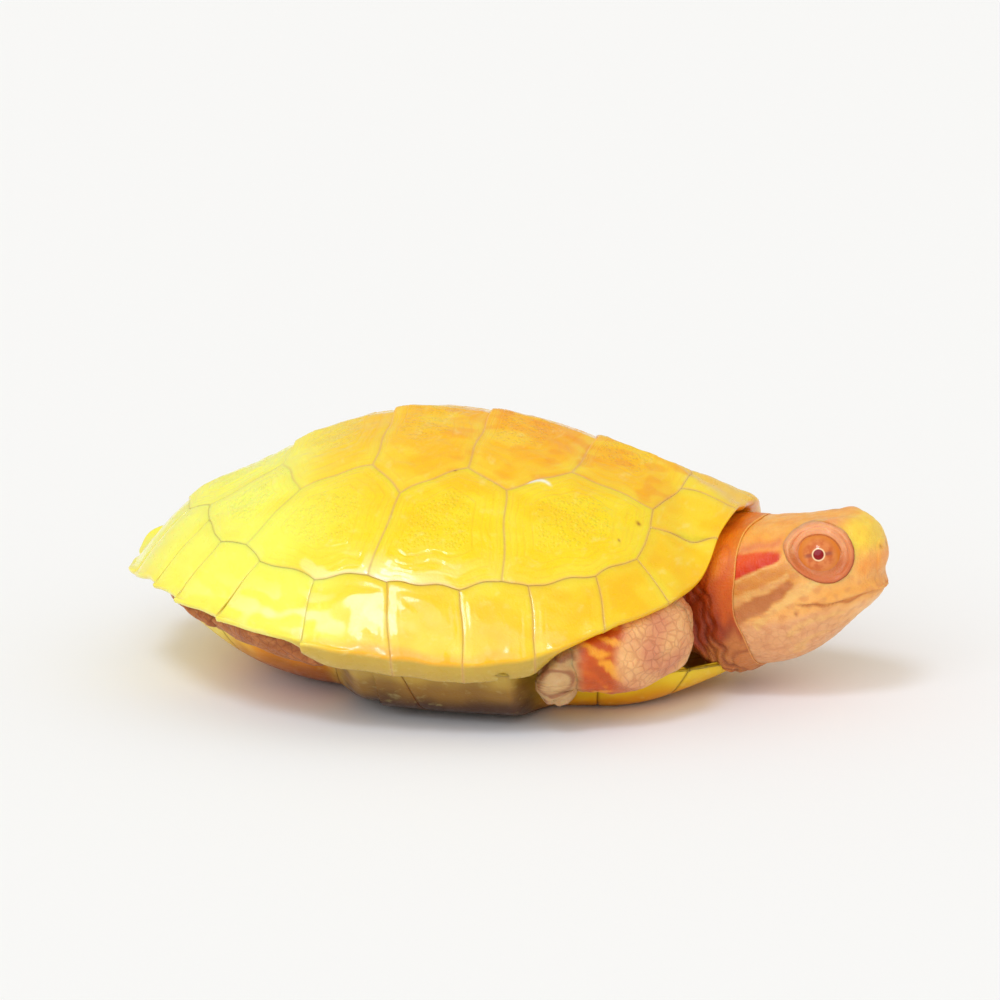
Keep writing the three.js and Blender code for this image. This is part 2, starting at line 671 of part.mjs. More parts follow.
// Sections of the neck inside and before the shell: place, half width, and reach up and down.
const NECK = [
  { x: 15, y: 0, z: 10.4, w: 7.5, up: 5.4, down: -5.2 },
  { x: 20, y: 0, z: 10.2, w: 8.6, up: 6.0, down: -5.6 },
  { x: 25, y: -0.2, z: 10.0, w: 9.2, up: 6.6, down: -5.6 },
];
const NECK_HEADING = new THREE.Vector3(1, -0.02, 0.05);
// The sleeve's last rings: place along the head's axis, and how far they stand off the head.
const SLEEVE = [[-1.4, 0.9], [1.2, 0.7], [HEAD_START - CLEARANCE, 0.4]];

// The neck: a wide sleeve of loose skin from inside the shell to the head's base.
function neckSolid(grow = 0, count = 18) {
  const rings = NECK.map(({ x, y, z, w, up, down }) => {
    const centre = new THREE.Vector3(x, y, z);
    return ovalRing(centre, NECK_HEADING, w + grow, up + grow, down - grow, SECTION_POWER, count);
  });
  const ahead = grow * 2;
  SLEEVE.forEach(([along, off], i) => {
    const place = i === SLEEVE.length - 1 ? along + ahead : along;
    rings.push(headRing(place, off + grow, count));
  });
  return facingOut(loftRings(rings));
}

// Rings of the roof under the carapace: shares of the way out, and points round each.
const ROOF_SHARES = [0.001, 0.35, 0.62, 0.76, 0.84, 1.05];
const ROOF_POINTS = 40;
const ROOF_TOP = 40;
const ROOF_DROP = SCUTE_THICKNESS + CLEARANCE + 0.15; // of the roof below the carapace's top face
const RIM_DROP = 1.45; // of the roof below the rim, and again at the bridge
const HIND_DROP = 0.9; // more room behind, where the roof's facets are long

// Everything above the inner face of the carapace, as a tool that trims the flesh.
function carapaceTool() {
  const rings = ROOF_SHARES.map((out) => (
    Array.from({ length: ROOF_POINTS }, (_, j) => {
      const angle = (j / ROOF_POINTS) * 360;
      const degrees = angle > 180 ? angle - 360 : angle;
      const folded = Math.abs(degrees);
      const [rx, ry, rz] = rimPoint(-folded);
      const inner = keelHeight(SPINE_SHARE * rx);
      const dome = inner + (rz - inner) * dropShare(Math.min(out, 1), radians(folded));
      const hind = HIND_DROP * smoothstep(folded, 103, 132) * smoothstep(out, 0.3, 0.6);
      const height = out > 0.8 ? rz - RIM_DROP * (1 + bridgeShare(folded)) : dome - ROOF_DROP - hind;
      const x = rx * (SPINE_SHARE + (1 - SPINE_SHARE) * out);
      return [x, (degrees < 0 ? 1 : -1) * ry * out, height];
    })));
  const roof = rings[rings.length - 1].map(([x, y]) => [x, y, ROOF_TOP]);
  return facingOut(loftRings([...rings, roof]));
}

const PLASTRON_TOOL = { rows: 24, columns: 8, beyond: 0.3, above: 0.12, low: -8 };

// Everything below the plastron's upper face, as a tool that trims the flesh.
function plastronTool() {
  const { rows, columns, beyond, above, low } = PLASTRON_TOOL;
  const length = PLASTRON_FRONT - PLASTRON_REAR + 2 * beyond;
  const plan = (s, q) => {
    const x = PLASTRON_REAR - beyond + length * s;
    return [x, (2 * q - 1) * (plastronHalfWidth(x) + CLEARANCE)];
  };
  const upper = (x, y) => plateTop(x, y) + CLEARANCE + above;
  return facingOut(slab(rows, columns, plan, upper, () => low));
}

// Sections of the trunk, from the hips to the shoulders: half width, and reach up and down.
const TRUNK = [
  { x: -20.5, w: 5, up: 4.2, down: -2.6, z: 11.4 },
  { x: -17, w: 9.5, up: 6.6, down: -5.6, z: 11.4 },
  { x: -9, w: 15.5, up: 9.9, down: -9.6, z: 11.8 },
  { x: 0, w: 17.6, up: 11.6, down: -10.2, z: 12 },
  { x: 7, w: 17, up: 11.2, down: -10.2, z: 12 },
  { x: 11.6, w: 14.5, up: 10.2, down: -10, z: 12 },
];

// The trunk: a broad loft that fills the middle of the shell between carapace and plastron.
function trunkSolid() {
  const forward = new THREE.Vector3(1, 0, 0);
  return facingOut(loftRings(TRUNK.map(({ x, w, up, down, z }) => (
    ovalRing(new THREE.Vector3(x, 0, z), forward, w, up, down, 2, 20)))));
}

// Limbs of the right side, as the stations [x, y, z, half width, half height] of each length.
const UPPER_ARM = [[15, -9, 9.4, 3.2, 3.2], [20, -10.5, 9.2, 3.8, 3.8], [24.2, -12.6, 8.8, 3.6, 4.2]];
const FOREARM = [[24.4, -13.2, 8.6, 3.4, 4.2], [21.3, -16.6, 7.4, 3.2, 4.0], [17.8, -18.9, 7.0, 2.6, 3.0]];
const FOREFOOT = [[16.4, -19.6, 6.9, 1.5, 2.3], [15.6, -20.3, 5.2, 1.3, 2.3], [15.6, -19.8, 3.7, 0.9, 2.1]];
const THIGH = [[-15, -8, 8.8, 3.0, 3.0], [-12, -13, 8.4, 3.2, 3.2], [-8.4, -17.0, 7.3, 2.8, 2.4]];
const SHIN = [[-8.4, -18.0, 7.4, 2.6, 2.3], [-13.2, -17.4, 8.2, 2.5, 1.9], [-17.6, -14.6, 8.8, 2.2, 1.7]];
const HIND_FOOT = [[-18.0, -14.0, 8.7, 2.6, 1.6], [-21.4, -11.2, 9.6, 2.9, 1.0], [-23.6, -8.4, 10.2, 2.0, 0.6]];
const TAIL = [[-17.5, 0, 8.4, 2.6, 2.2], [-22, 0.4, 9.6, 1.9, 1.6], [-25.4, 2.8, 10.1, 1.2, 1.0],
  [-26.0, 6.2, 10.2, 0.7, 0.6]];

// Claws of the right side: how many, the line of their roots, and their heading.
const FORE_CLAWS = { count: 5, from: [13.9, -20.0, 3.8], to: [17.3, -19.5, 3.9], heading: [-0.1, 1, -0.1] };
const HIND_CLAWS = { count: 4, from: [-24.6, -9.4, 10.1], to: [-23.2, -6.9, 10.3], heading: [-0.45, 0.85, 0.1] };
const CLAW_LENGTH = 2.2;
const CLAW_RADIUS = 0.38;
const CLAW_SIDES = 5;

function claws({ count, from, to, heading }) {
  const direction = new THREE.Vector3(...heading).normalize();
  const turn = new THREE.Quaternion().setFromUnitVectors(new THREE.Vector3(0, 1, 0), direction);
  return Array.from({ length: count }, (_, i) => {
    const claw = new THREE.ConeGeometry(CLAW_RADIUS, CLAW_LENGTH, CLAW_SIDES);
    claw.deleteAttribute('normal');
    claw.deleteAttribute('uv');
    const root = new THREE.Vector3(...from).lerp(new THREE.Vector3(...to), i / (count - 1));
    const middle = root.addScaledVector(direction, CLAW_LENGTH / 2);
    claw.applyQuaternion(turn);
    claw.translate(middle.x, middle.y, middle.z);
    return mergeVertices(claw, 1e-4);
  });
}

// A whole leg with its foot and claws, in one.
function foreleg() {
  return joined(limb(UPPER_ARM), limb(FOREARM), limb(FOREFOOT), ...claws(FORE_CLAWS));
}

function hindleg() {
  return joined(limb(THIGH), limb(SHIN), limb(HIND_FOOT), ...claws(HIND_CLAWS));
}

// ---------------------------------------------------------------- assembly

const turtle = new THREE.Group();

function add(name, geometry, colour, roughness = 0.4) {
  const material = new THREE.MeshStandardMaterial({ color: colour, roughness, metalness: 0 });
  const mesh = new THREE.Mesh(geometry, material);
  mesh.name = name;
  turtle.add(mesh);
}

function addPair(name, geometry, colour, roughness) {
  add(`${name}_left`, geometry, colour, roughness);
  add(`${name}_right`, mirrored(geometry), colour, roughness);
}

add('nuchal_scute', nuchal(), COLOURS.scute, 0.3);
VERTEBRALS.forEach((names, i) => add(`vertebral_scute_${i + 1}`, vertebral(names), COLOURS.amber, 0.3));
COSTALS.forEach((names, i) => {
  const geometry = scuteSolid(corners(names), carapaceHeight);
  add(`costal_scute_left_${i + 1}`, geometry, COLOURS.scute, 0.3);
  add(`costal_scute_right_${i + 1}`, mirrored(geometry), COLOURS.scute, 0.3);
});
MARGINAL_INNER.forEach((_, i) => {
  add(`marginal_scute_left_${i + 1}`, marginal(i, 1), COLOURS.scute, 0.3);
  add(`marginal_scute_right_${i + 1}`, marginal(i, -1), COLOURS.scute, 0.3);
});

const frontEnd = { mid: PLASTRON_FRONT, edge: PLASTRON_FRONT - 0.4 };
const longPlates = ['pectoral', 'abdominal'];
PLASTRON_SEAMS.forEach((seam, i) => {
  const front = i === 0 ? frontEnd : PLASTRON_SEAMS[i - 1];
  const rows = longPlates.includes(seam.name) ? 6 : 3;
  add(`plastron_${seam.name}`, plates(front, seam, 12, rows), COLOURS.plastron, 0.35);
});

const shellTools = [carapaceTool(), plastronTool()];
const neckRoom = neckSolid(ROOM, 12);
const tailRoom = limb(TAIL, ROOM, TOOL);
const rightForeleg = cut(foreleg(), neckRoom, ...shellTools);
const rightHindleg = cut(hindleg(), tailRoom, ...shellTools);
const legRoom = joined(...[THIGH, SHIN, HIND_FOOT].map((length) => limb(length, ROOM, TOOL)));
const { head, jaw, eyeRight, eyeLeft } = headParts();

add('head', head, COLOURS.skin);
add('lower_jaw', jaw, COLOURS.skin);
add('eye_right', eyeRight, COLOURS.eye, 0.08);
add('eye_left', eyeLeft, COLOURS.eye, 0.08);
add('neck', cut(neckSolid(), ...shellTools), COLOURS.skin);
add('tail', cut(limb(TAIL, 0, { ...LIMB, sides: 8 }), ...shellTools), COLOURS.skin);
addPair('foreleg', mirrored(rightForeleg), COLOURS.skin);
addPair('hindleg', mirrored(rightHindleg), COLOURS.skin);
add('trunk', cut(trunkSolid(), legRoom, mirrored(legRoom), tailRoom), COLOURS.skin);

export default turtle;
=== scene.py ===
"""A young red-eared slider turtle of the yellow, unpigmented form, life size, resting on its belly.

The frame is the CAD model's: +X to the head, +Y to the animal's left, +Z up, the floor at Z = 0.
All surfaces are worked out in millimetres on numpy grids and written to the meshes in metres.
"""

from __future__ import annotations

import logging
import math
from dataclasses import dataclass, field
from enum import Enum
from typing import Callable, Sequence

import bpy
import numpy as np
from mathutils import Matrix, Vector

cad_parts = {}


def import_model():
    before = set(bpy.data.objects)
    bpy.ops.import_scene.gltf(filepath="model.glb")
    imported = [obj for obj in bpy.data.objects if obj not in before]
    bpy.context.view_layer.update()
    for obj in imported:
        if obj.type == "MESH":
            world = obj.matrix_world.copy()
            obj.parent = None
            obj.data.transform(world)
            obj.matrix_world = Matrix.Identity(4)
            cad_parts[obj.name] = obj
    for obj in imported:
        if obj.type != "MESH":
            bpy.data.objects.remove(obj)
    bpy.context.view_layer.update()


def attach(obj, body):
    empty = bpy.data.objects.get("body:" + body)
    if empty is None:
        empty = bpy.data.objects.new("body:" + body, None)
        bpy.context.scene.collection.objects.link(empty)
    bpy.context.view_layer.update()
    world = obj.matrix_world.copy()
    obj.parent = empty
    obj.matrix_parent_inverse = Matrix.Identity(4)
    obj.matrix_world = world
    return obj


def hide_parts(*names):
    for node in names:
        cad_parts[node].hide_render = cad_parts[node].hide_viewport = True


MM = 0.001
log = logging.getLogger("turtle")
Array = np.ndarray
Curve = Callable[[Array], Array]
Table = tuple[tuple[float, ...], tuple[float, ...]]


class Side(Enum):
    """The two sides of the animal, with the sign of Y on each."""

    LEFT = 1
    RIGHT = -1


# ------------------------------------------------------------------ small mathematics


def smooth_table(table: Table) -> Curve:
    """Smooth curve through a table: cubic between entries, slopes weighted from the neighbours.

    Args:
        table: the places and the values.

    Returns:
        A function of an array of places, held at its end values outside the table.
    """
    xs, ys = (np.asarray(row, float) for row in table)
    slopes = np.gradient(ys, xs)

    def curve(value: Array) -> Array:
        """The cubic between the two entries on either side of each place."""
        x = np.clip(np.asarray(value, float), xs[0], xs[-1])
        i = np.clip(np.searchsorted(xs, x, side="right") - 1, 0, len(xs) - 2)
        h = xs[i + 1] - xs[i]
        s = (x - xs[i]) / h
        rise = ys[i] * (1 + 2 * s) * (1 - s) ** 2 + slopes[i] * h * s * (1 - s) ** 2
        return rise + ys[i + 1] * s * s * (3 - 2 * s) + slopes[i + 1] * h * s * s * (s - 1)

    return curve


def ramp(x: Array, start: float, end: float) -> Array:
    """Smooth step: 0 before start, 1 after end, 3t² − 2t³ between them."""
    t = np.clip((np.asarray(x, float) - start) / (end - start), 0, 1)
    return t * t * (3 - 2 * t)


def bell(x: Array, width: float) -> Array:
    """Bell curve exp(−(x / width)²)."""
    return np.exp(-((x / width) ** 2))


def mix(a: Array, b: Array, share: Array) -> Array:
    """Mix of two colours, (1 − share)·a + share·b, with one share for each point."""
    share = np.asarray(share, float)[..., None]
    return np.asarray(a) * (1 - share) + np.asarray(b) * share


def stripe(x: Array, z: Array, line: Sequence[tuple[float, float, float]]) -> Array:
    """Mask of a stripe along a polyline: 1 within its half width, falling softly to 0 outside.

    Args:
        x: first coordinate.
        z: second coordinate.
        line: places and half widths, as (x, z, half width).

    Returns:
        The mask.
    """
    nearest = np.full(np.shape(x), 9.0)
    for (x0, z0, w0), (x1, z1, w1) in zip(line, line[1:]):
        run, rise = x1 - x0, z1 - z0
        share = np.clip(((x - x0) * run + (z - z0) * rise) / (run * run + rise * rise), 0, 1)
        away = np.hypot(x - x0 - share * run, z - z0 - share * rise)
        nearest = np.minimum(nearest, away / (w0 + (w1 - w0) * share))
    return 1 - ramp(nearest, 0.6, 1.15)


def waves(points: Array, length: float, seed: int, count: int = 10) -> Array:
    """Soft noise: a sum of sine waves of nearly one length in seeded directions, about ±1.

    Args:
        points: positions, in the last axis.
        length: the waves' length, in the same unit as the points.
        seed: the seed of directions and phases.
        count: how many waves are added.

    Returns:
        One value for each point.
    """
    draw = np.random.default_rng(seed)
    heading = draw.normal(size=(count, points.shape[-1]))
    heading /= np.linalg.norm(heading, axis=1, keepdims=True)
    pace = 2 * math.pi / (length * draw.uniform(0.7, 1.5, count))
    phase = draw.uniform(0, 2 * math.pi, count)
    total = sum(np.sin(points @ (h * p) + f) for h, p, f in zip(heading, pace, phase))
    return total / math.sqrt(count * 0.5)


def scatter(cell: Array, seed: int) -> Array:
    """Repeatable random numbers from 0 to 1 for whole-number cells, by a sine hash.

    Args:
        cell: whole-number cell coordinates, in the last axis.
        seed: shifts the hash.

    Returns:
        Two numbers for each cell, in the last axis.
    """
    mixed = cell @ np.array([127.1, 311.7, 74.7][: cell.shape[-1]]) + seed * 17.17
    return np.stack(
        [np.mod(np.sin(mixed) * 43758.5453, 1), np.mod(np.sin(mixed * 1.7 + 3.1) * 24634.6345, 1)],
        -1,
    )


def cells(u: Array, v: Array, size: float, seed: int) -> tuple[Array, Array, Array]:
    """Cell pattern on a plane: distances to the nearest and second nearest of scattered points.

    The plane is cut in squares with one scattered point in each, and the nine squares round a place
    are searched.

    Args:
        u: first coordinate.
        v: second coordinate.
        size: side of a square.
        seed: the seed of the scatter.

    Returns:
        Nearest distance and the gap to the second nearest, both in squares, and the cell's number.
    """
    place = np.stack([u / size, v / size], -1)
    home = np.floor(place)
    first = np.full(np.shape(u), 9.0)
    second = np.full(np.shape(u), 9.0)
    number = np.zeros(np.shape(u))
    for step in [(i, j) for i in (-1, 0, 1) for j in (-1, 0, 1)]:
        cell = home + np.array(step)
        jitter = scatter(cell, seed)
        away = np.linalg.norm(place - cell - 0.15 - 0.7 * jitter, axis=-1)
        nearer = away < first
        second = np.where(nearer, first, np.minimum(second, away))
        number = np.where(nearer, jitter[..., 0], number)
        first = np.where(nearer, away, first)
    return first, second - first, number


def unit(vector: Array) -> Array:
    """Vectors scaled to length one over the last axis."""
    return vector / np.maximum(np.linalg.norm(vector, axis=-1, keepdims=True), 1e-9)


# ------------------------------------------------------------------ meshes


@dataclass
class Surface:
    """Grids gathered into one mesh, with named values for each vertex."""

    name: str
    points: list[Array] = field(default_factory=list)
    corners: list[Array] = field(default_factory=list)
    sizes: list[Array] = field(default_factory=list)
    values: dict[str, list[Array]] = field(default_factory=dict)
    count: int = 0

    def grid(
        self,
        points: Array,
        values: dict[str, Array] | None = None,
        closed: bool = True,
        first_cap: bool = False,
        last_cap: bool = False,
    ) -> None:
        """Adds a grid of rows by columns, each cell one four-sided face, turned outwards.

        The enclosed volume about the grid's middle tells which way round its faces are.

        Args:
            points: rows × columns × 3, in millimetres.
            values: named values, rows × columns or rows × columns × 3.
            closed: whether the last column joins the first.
            first_cap: whether a fan closes the first row.
            last_cap: whether a fan closes the last row.
        """
        rows, columns = points.shape[:2]
        flat = points.reshape(-1, 3)
        extra = []
        number = np.arange(rows * columns).reshape(rows, columns)
        across = np.roll(number, -1, axis=1) if closed else number[:, 1:]
        here = number if closed else number[:, :-1]
        quads = np.stack([here[:-1], across[:-1], across[1:], here[1:]], -1).reshape(-1, 4)
        fans = []
        for wanted, row, turned in ((first_cap, 0, True), (last_cap, rows - 1, False)):
            if wanted:
                extra.append(points[row].mean(axis=0))
                centre = np.full(columns, rows * columns + len(extra) - 1)
                ends = (number[row], np.roll(number[row], -1))
                fan = np.stack(
                    [centre, ends[1], ends[0]] if turned else [centre, ends[0], ends[1]], -1
                )
                fans.append((fan, row))
        flat = np.concatenate([flat, np.array(extra).reshape(-1, 3)])
        centred = flat - flat.mean(axis=0)
        a, b, c, d = (centred[quads[:, k]] for k in range(4))
        if (a * (np.cross(b, c) + np.cross(c, d))).sum() < 0:
            quads = quads[:, ::-1]
            fans = [(fan[:, ::-1], row) for fan, row in fans]
        self.points.append(flat)
        for block in [quads] + [fan for fan, _ in fans]:
            self.corners.append((block + self.count).ravel())
            self.sizes.append(np.full(len(block), block.shape[1]))
        for key, value in (values or {}).items():
            caps = [value[row].mean(axis=0) for _, row in fans]
            body = value.reshape(rows * columns, -1)
            ends_of = np.array(caps).reshape(len(caps), -1) if caps else np.zeros(
                (0, body.shape[1])
            )
            self.values.setdefault(key, []).append(np.concatenate([body, ends_of]))
        self.count += rows * columns + len(extra)

    def mirror(self) -> None:
        """Mirrors the whole surface to the animal's other side."""
        self.points = [block * np.array([1, -1, 1]) for block in self.points]
        turned = []
        for block, size in zip(self.corners, self.sizes):
            turned.append(block.reshape(-1, size[0])[:, ::-1].ravel())
        self.corners = turned

    def build(
        self, material: bpy.types.Material, slot: str, nodes: Sequence[str] = ()
    ) -> bpy.types.Object:
        """Writes the mesh and places the piece on the body.

        Args:
            material: the finish.
            slot: not used.
            nodes: the CAD nodes that the piece stands for.

        Returns:
            The new object, at the origin.
        """
        mesh = bpy.data.meshes.new(self.name)
        points = np.concatenate(self.points) * MM
        corners = np.concatenate(self.corners).astype(np.int32)
        sizes = np.concatenate(self.sizes).astype(np.int32)
        mesh.vertices.add(len(points))
        mesh.vertices.foreach_set("co", points.astype(np.float32).ravel())
        mesh.loops.add(len(corners))
        mesh.loops.foreach_set("vertex_index", corners)
        mesh.polygons.add(len(sizes))
        mesh.polygons.foreach_set(
            "loop_start", np.concatenate([[0], np.cumsum(sizes)[:-1]]).astype(np.int32)
        )
        mesh.update(calc_edges=True)
        mesh.validate()
        mesh.shade_smooth()
        for key, blocks in self.values.items():
            value = np.concatenate(blocks)
            if value.shape[1] == 1:
                mesh.attributes.new(key, "FLOAT", "POINT").data.foreach_set(
                    "value", value.astype(np.float32).ravel()
                )
            else:
                colour = np.concatenate([value, np.ones((len(value), 1))], axis=1)
                layer = mesh.attributes.new(key, "FLOAT_COLOR", "POINT")
                layer.data.foreach_set("color", colour.astype(np.float32).ravel())
        mesh.materials.append(material)
        piece = bpy.data.objects.new(self.name, mesh)
        bpy.context.scene.collection.objects.link(piece)
        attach(piece, "root")
        if nodes:
            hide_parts(*nodes)
        triangles = int((sizes - 2).sum())
        log.info("%s: %d triangles", self.name, triangles)
        return piece


# ------------------------------------------------------------------ the shell's form


@dataclass
class ShellForm:
    """The dome of the carapace and the pan of the plastron, as heights over the plan."""

    half_length: float = 30.0
    half_width: float = 26.0
    spine_share: float = 0.8
    keel: Table = (
        (-30, -27, -24, -18, -12, -6, 0, 6, 12, 18, 24, 30),
        (10.5, 14.2, 16.9, 20.1, 23.4, 25.7, 26.6, 26.4, 25.4, 23.7, 22.0, 18.8),
    )
    rim: Table = (
        (0, 4, 12.4, 20, 31.4, 47.4, 62.2, 76.1, 89.6, 106.9, 126, 138.6, 147.5, 163, 180),
        (18.9, 19, 16.9, 13.9, 12.6, 11.1, 8.8, 8.1, 8.7, 9.6, 10.7, 11.3, 11.7, 10.9, 10.3),
    )
    front_end: float = 30.6
    rear_end: float = -26.0
    flat_front: float = 19.0
    flat_rear: float = -9.0
    rear_rise: float = 7.4
    front_rise: float = 2.2
    plate_thickness: float = 1.2
    bridge_half_width: float = 24.2
    bridge_lift: float = 1.5
    lobe: Table = (
        (-26, -24.5, -21, -17, -12, -7.5, 0, 8, 16, 20, 23.5, 26.5, 28.5, 29.7, 30.6),
        (6.3, 8.4, 11.2, 13, 14.2, 15, 15.4, 15.2, 14.4, 13.5, 12.2, 9.6, 6.9, 5.0, 3.0),
    )
    edge: Table = (
        (-26, -21, -17, -12, -7, -4, 4, 12, 15, 19, 23, 27, 30.6),
        (3.2, 3.6, 3.7, 4.3, 4.4, 5.2, 5.2, 5.0, 4.4, 4.0, 3.6, 2.4, 0.8),
    )
    push: tuple[float, float, float, float] = (2.4, 1.35, 12.0, 14.0)
    rear_lift: tuple[float, float, float, float] = (0.3, 0.8, 163.0, 11.0)
    level: Table = (
        (-26, -17, -9, 0, 8, 16, 23, 27, 30.6), (3, 4.5, 4.5, 8.5, 10, 9.5, 8, 4.5, 1.5)
    )

    def __post_init__(self) -> None:
        """Turns the tables into smooth curves."""
        self.keel_height = smooth_table(self.keel)
        angles = tuple(math.radians(a) for a in self.rim[0])
        self.rim_height = smooth_table((angles, self.rim[1]))
        self.lobe_half_width = smooth_table(self.lobe)
        self.edge_height = smooth_table(self.edge)
        self.level_half_width = smooth_table(self.level)

    def rim_half_width(self, x: Array) -> Array:
        """Half width of the rim at x: a blunt curve in front, half an ellipse behind."""
        t = np.clip(x / self.half_length, -1, 1)
        front = (1 - np.abs(t) ** 2.7) ** 0.42 * (1 - 0.06 * t)
        return self.half_width * np.where(t > 0, front, np.sqrt(1 - t * t))

    def drop_share(self, out: Array, angle: Array) -> Array:
        """Share of the drop from keel to rim at the share `out` of the way along a rib."""
        sideways = np.abs(np.sin(angle))
        flank = 0.22 * out + 0.78 * out**2.5
        end = np.where(np.cos(angle) > 0, out, 0.75 * out + 0.25 * out * out)
        return end * (1 - sideways) + flank * sideways

    def rib_at(self, x: Array, y: Array) -> tuple[Array, Array]:
        """The rib through a point in plan, found by halving.

        Args:
            x: forward.
            y: aside.

        Returns:
            The rib's angle round the shell from the head, and the share of the way out along it.
        """
        aside = np.maximum(np.abs(y), 0.05)
        low = np.full(np.shape(x), -self.half_length + 1e-6)
        high = -low
        for _ in range(40):
            middle = (low + high) / 2
            out = aside / np.maximum(self.rim_half_width(middle), 1e-6)
            beyond = middle * (self.spine_share + (1 - self.spine_share) * out) > x
            high = np.where(beyond, middle, high)
            low = np.where(beyond, low, middle)
        rim_x = (low + high) / 2
        on_line = (np.abs(x) / self.half_length - self.spine_share) / (1 - self.spine_share)
        out = aside / np.maximum(self.rim_half_width(rim_x), 1e-6)
        return np.arccos(np.clip(rim_x / self.half_length, -1, 1)), np.where(
            out > 1.5, on_line, out
        )

    def height(self, x: Array, y: Array) -> Array:
        """Height of the carapace over a point in plan: keel height less the rib's drop."""
        angle, out = self.rib_at(x, y)
        top = self.keel_height(self.spine_share * self.half_length * np.cos(angle))
        return top + (self.rim_height(angle) - top) * self.drop_share(np.clip(out, 0, 1), angle)

    def rim_point(self, angle: Array) -> Array:
        """Point of the rim at a signed angle round the shell, in radians.

        On the left the rim is a little longer and lower beside the neck, and longer and higher
        behind, each by a bell curve of the angle.
        """
        x = self.half_length * np.cos(angle)
        side = np.where(angle < 0, -1.0, 1.0)
        forward, down, middle, spread = self.push
        grown = bell(np.degrees(angle) - middle, spread)
        back, up, behind, width = self.rear_lift
        lifted = bell(np.degrees(angle) - behind, width)
        height = self.rim_height(np.abs(angle)) - down * grown + up * lifted
        return np.stack(
            [x + forward * grown - back * lifted, self.rim_half_width(x) * side, height], -1
        )

    def plastron_half_width(self, x: Array) -> Array:
        """Half width of the plastron: the lobes, widened between the legs to the bridges."""
        lobe = self.lobe_half_width(x)
        bridge = ramp(x, -8.4, -3.4) * (1 - ramp(x, 11.0, 14.2))
        return lobe + (self.bridge_half_width - lobe) * bridge

    def plastron_height(self, x: Array, y: Array) -> Array:
        """Height of the plastron's underside: flat in the middle, lobes and edges turned up."""
        behind = np.maximum(0, self.flat_rear - x) / (self.flat_rear - self.rear_end)
        before = np.maximum(0, x - self.flat_front) / (self.front_end - self.flat_front)
        rise = self.rear_rise * behind**1.7 + self.front_rise * before**1.6
        level = self.level_half_width(x)
        out = np.maximum(0, np.abs(y) - level) / (self.plastron_half_width(x) - level)
        bridge = ramp(x, -8.4, -5.0) * (1 - ramp(x, 12.2, 13.8))
        rise = rise + self.bridge_lift * bridge * ramp(out, 0.65, 0.97)
        return rise + self.edge_height(x) * np.minimum(out, 1.05) ** np.where(x < -2, 2.3, 3.0)


CORNER: dict[str, tuple[float, float]] = {
    "nuchal_mid": (25.6, 0), "nuchal_side": (25.1, 3.0), "v1_marginal": (22.8, 7.5),
    "m1_m2": (23.1, 9.8), "m2_m3": (22.3, 14.0), "m3_m4": (18.8, 17.2), "m4_m5": (12.6, 19.6),
    "c1_c2": (10.1, 19.6), "m5_m6": (6.2, 20.9), "m6_m7": (-1.0, 21.4), "c2_c3": (-2.8, 20.8),
    "m7_m8": (-8.1, 20.8), "m8_m9": (-14.1, 17.8), "c3_c4": (-15.8, 15.5), "m9_m10": (-18.9, 13.5),
    "m10_m11": (-21.0, 9.0), "c4_v5": (-21.5, 6.0), "m11_m12": (-23.9, 4.0), "v5_mid": (-25.0, 0),
    "v1_v2_mid": (16.4, 0), "v1_v2": (14.9, 7.2), "c1_c2_top": (9.1, 11.8), "v2_v3": (5.0, 9.9),
    "v2_v3_mid": (5.8, 0), "c2_c3_top": (-0.9, 13.7), "v3_v4": (-4.3, 9.95), "v3_v4_mid": (-3.8, 0),
    "c3_c4_top": (-11.5, 10.9), "v4_v5": (-14.4, 4.3), "v4_v5_mid": (-14.0, 0),
}  # fmt: skip
VERTEBRALS: tuple[tuple[str, ...], ...] = (
    ("nuchal_mid", "nuchal_side", "v1_marginal", "v1_v2", "v1_v2_mid"),
    ("v1_v2_mid", "v1_v2", "c1_c2_top", "v2_v3", "v2_v3_mid"),
    ("v2_v3_mid", "v2_v3", "c2_c3_top", "v3_v4", "v3_v4_mid"),
    ("v3_v4_mid", "v3_v4", "c3_c4_top", "v4_v5", "v4_v5_mid"),
    ("v4_v5_mid", "v4_v5", "c4_v5", "m11_m12", "v5_mid"),
)
COSTALS: tuple[tuple[str, ...], ...] = (
    ("v1_marginal", "m1_m2", "m2_m3", "m3_m4", "m4_m5", "c1_c2", "c1_c2_top", "v1_v2"),
    ("c1_c2_top", "c1_c2", "m5_m6", "m6_m7", "c2_c3", "c2_c3_top", "v2_v3"),
    ("c2_c3_top", "c2_c3", "m7_m8", "m8_m9", "c3_c4", "c3_c4_top", "v3_v4"),
    ("c3_c4_top", "c3_c4", "m9_m10", "m10_m11", "c4_v5", "v4_v5"),
)
MARGINAL_INNER: tuple[tuple[str, ...], ...] = (
    ("nuchal_side", "v1_marginal", "m1_m2"), ("m1_m2", "m2_m3"), ("m2_m3", "m3_m4"), (
        "m3_m4", "m4_m5"
    ),
    ("m4_m5", "c1_c2", "m5_m6"), ("m5_m6", "m6_m7"), ("m6_m7", "c2_c3", "m7_m8"), (
        "m7_m8", "m8_m9"
    ),
    ("m8_m9", "c3_c4", "m9_m10"), ("m9_m10", "m10_m11"), ("m10_m11", "c4_v5", "m11_m12"),
    ("m11_m12", "v5_mid"),
)  # fmt: skip
MARGINAL_ANGLE: tuple[float, ...] = (
    4, 12.4, 31.4, 47.4, 62.2, 76.1, 89.6, 106.9, 126, 138.6, 147.5, 163, 180
)


def plan_of(names: Sequence[str]) -> Array:
    """Plan points of named corners."""
    return np.array([CORNER[name] for name in names], float)


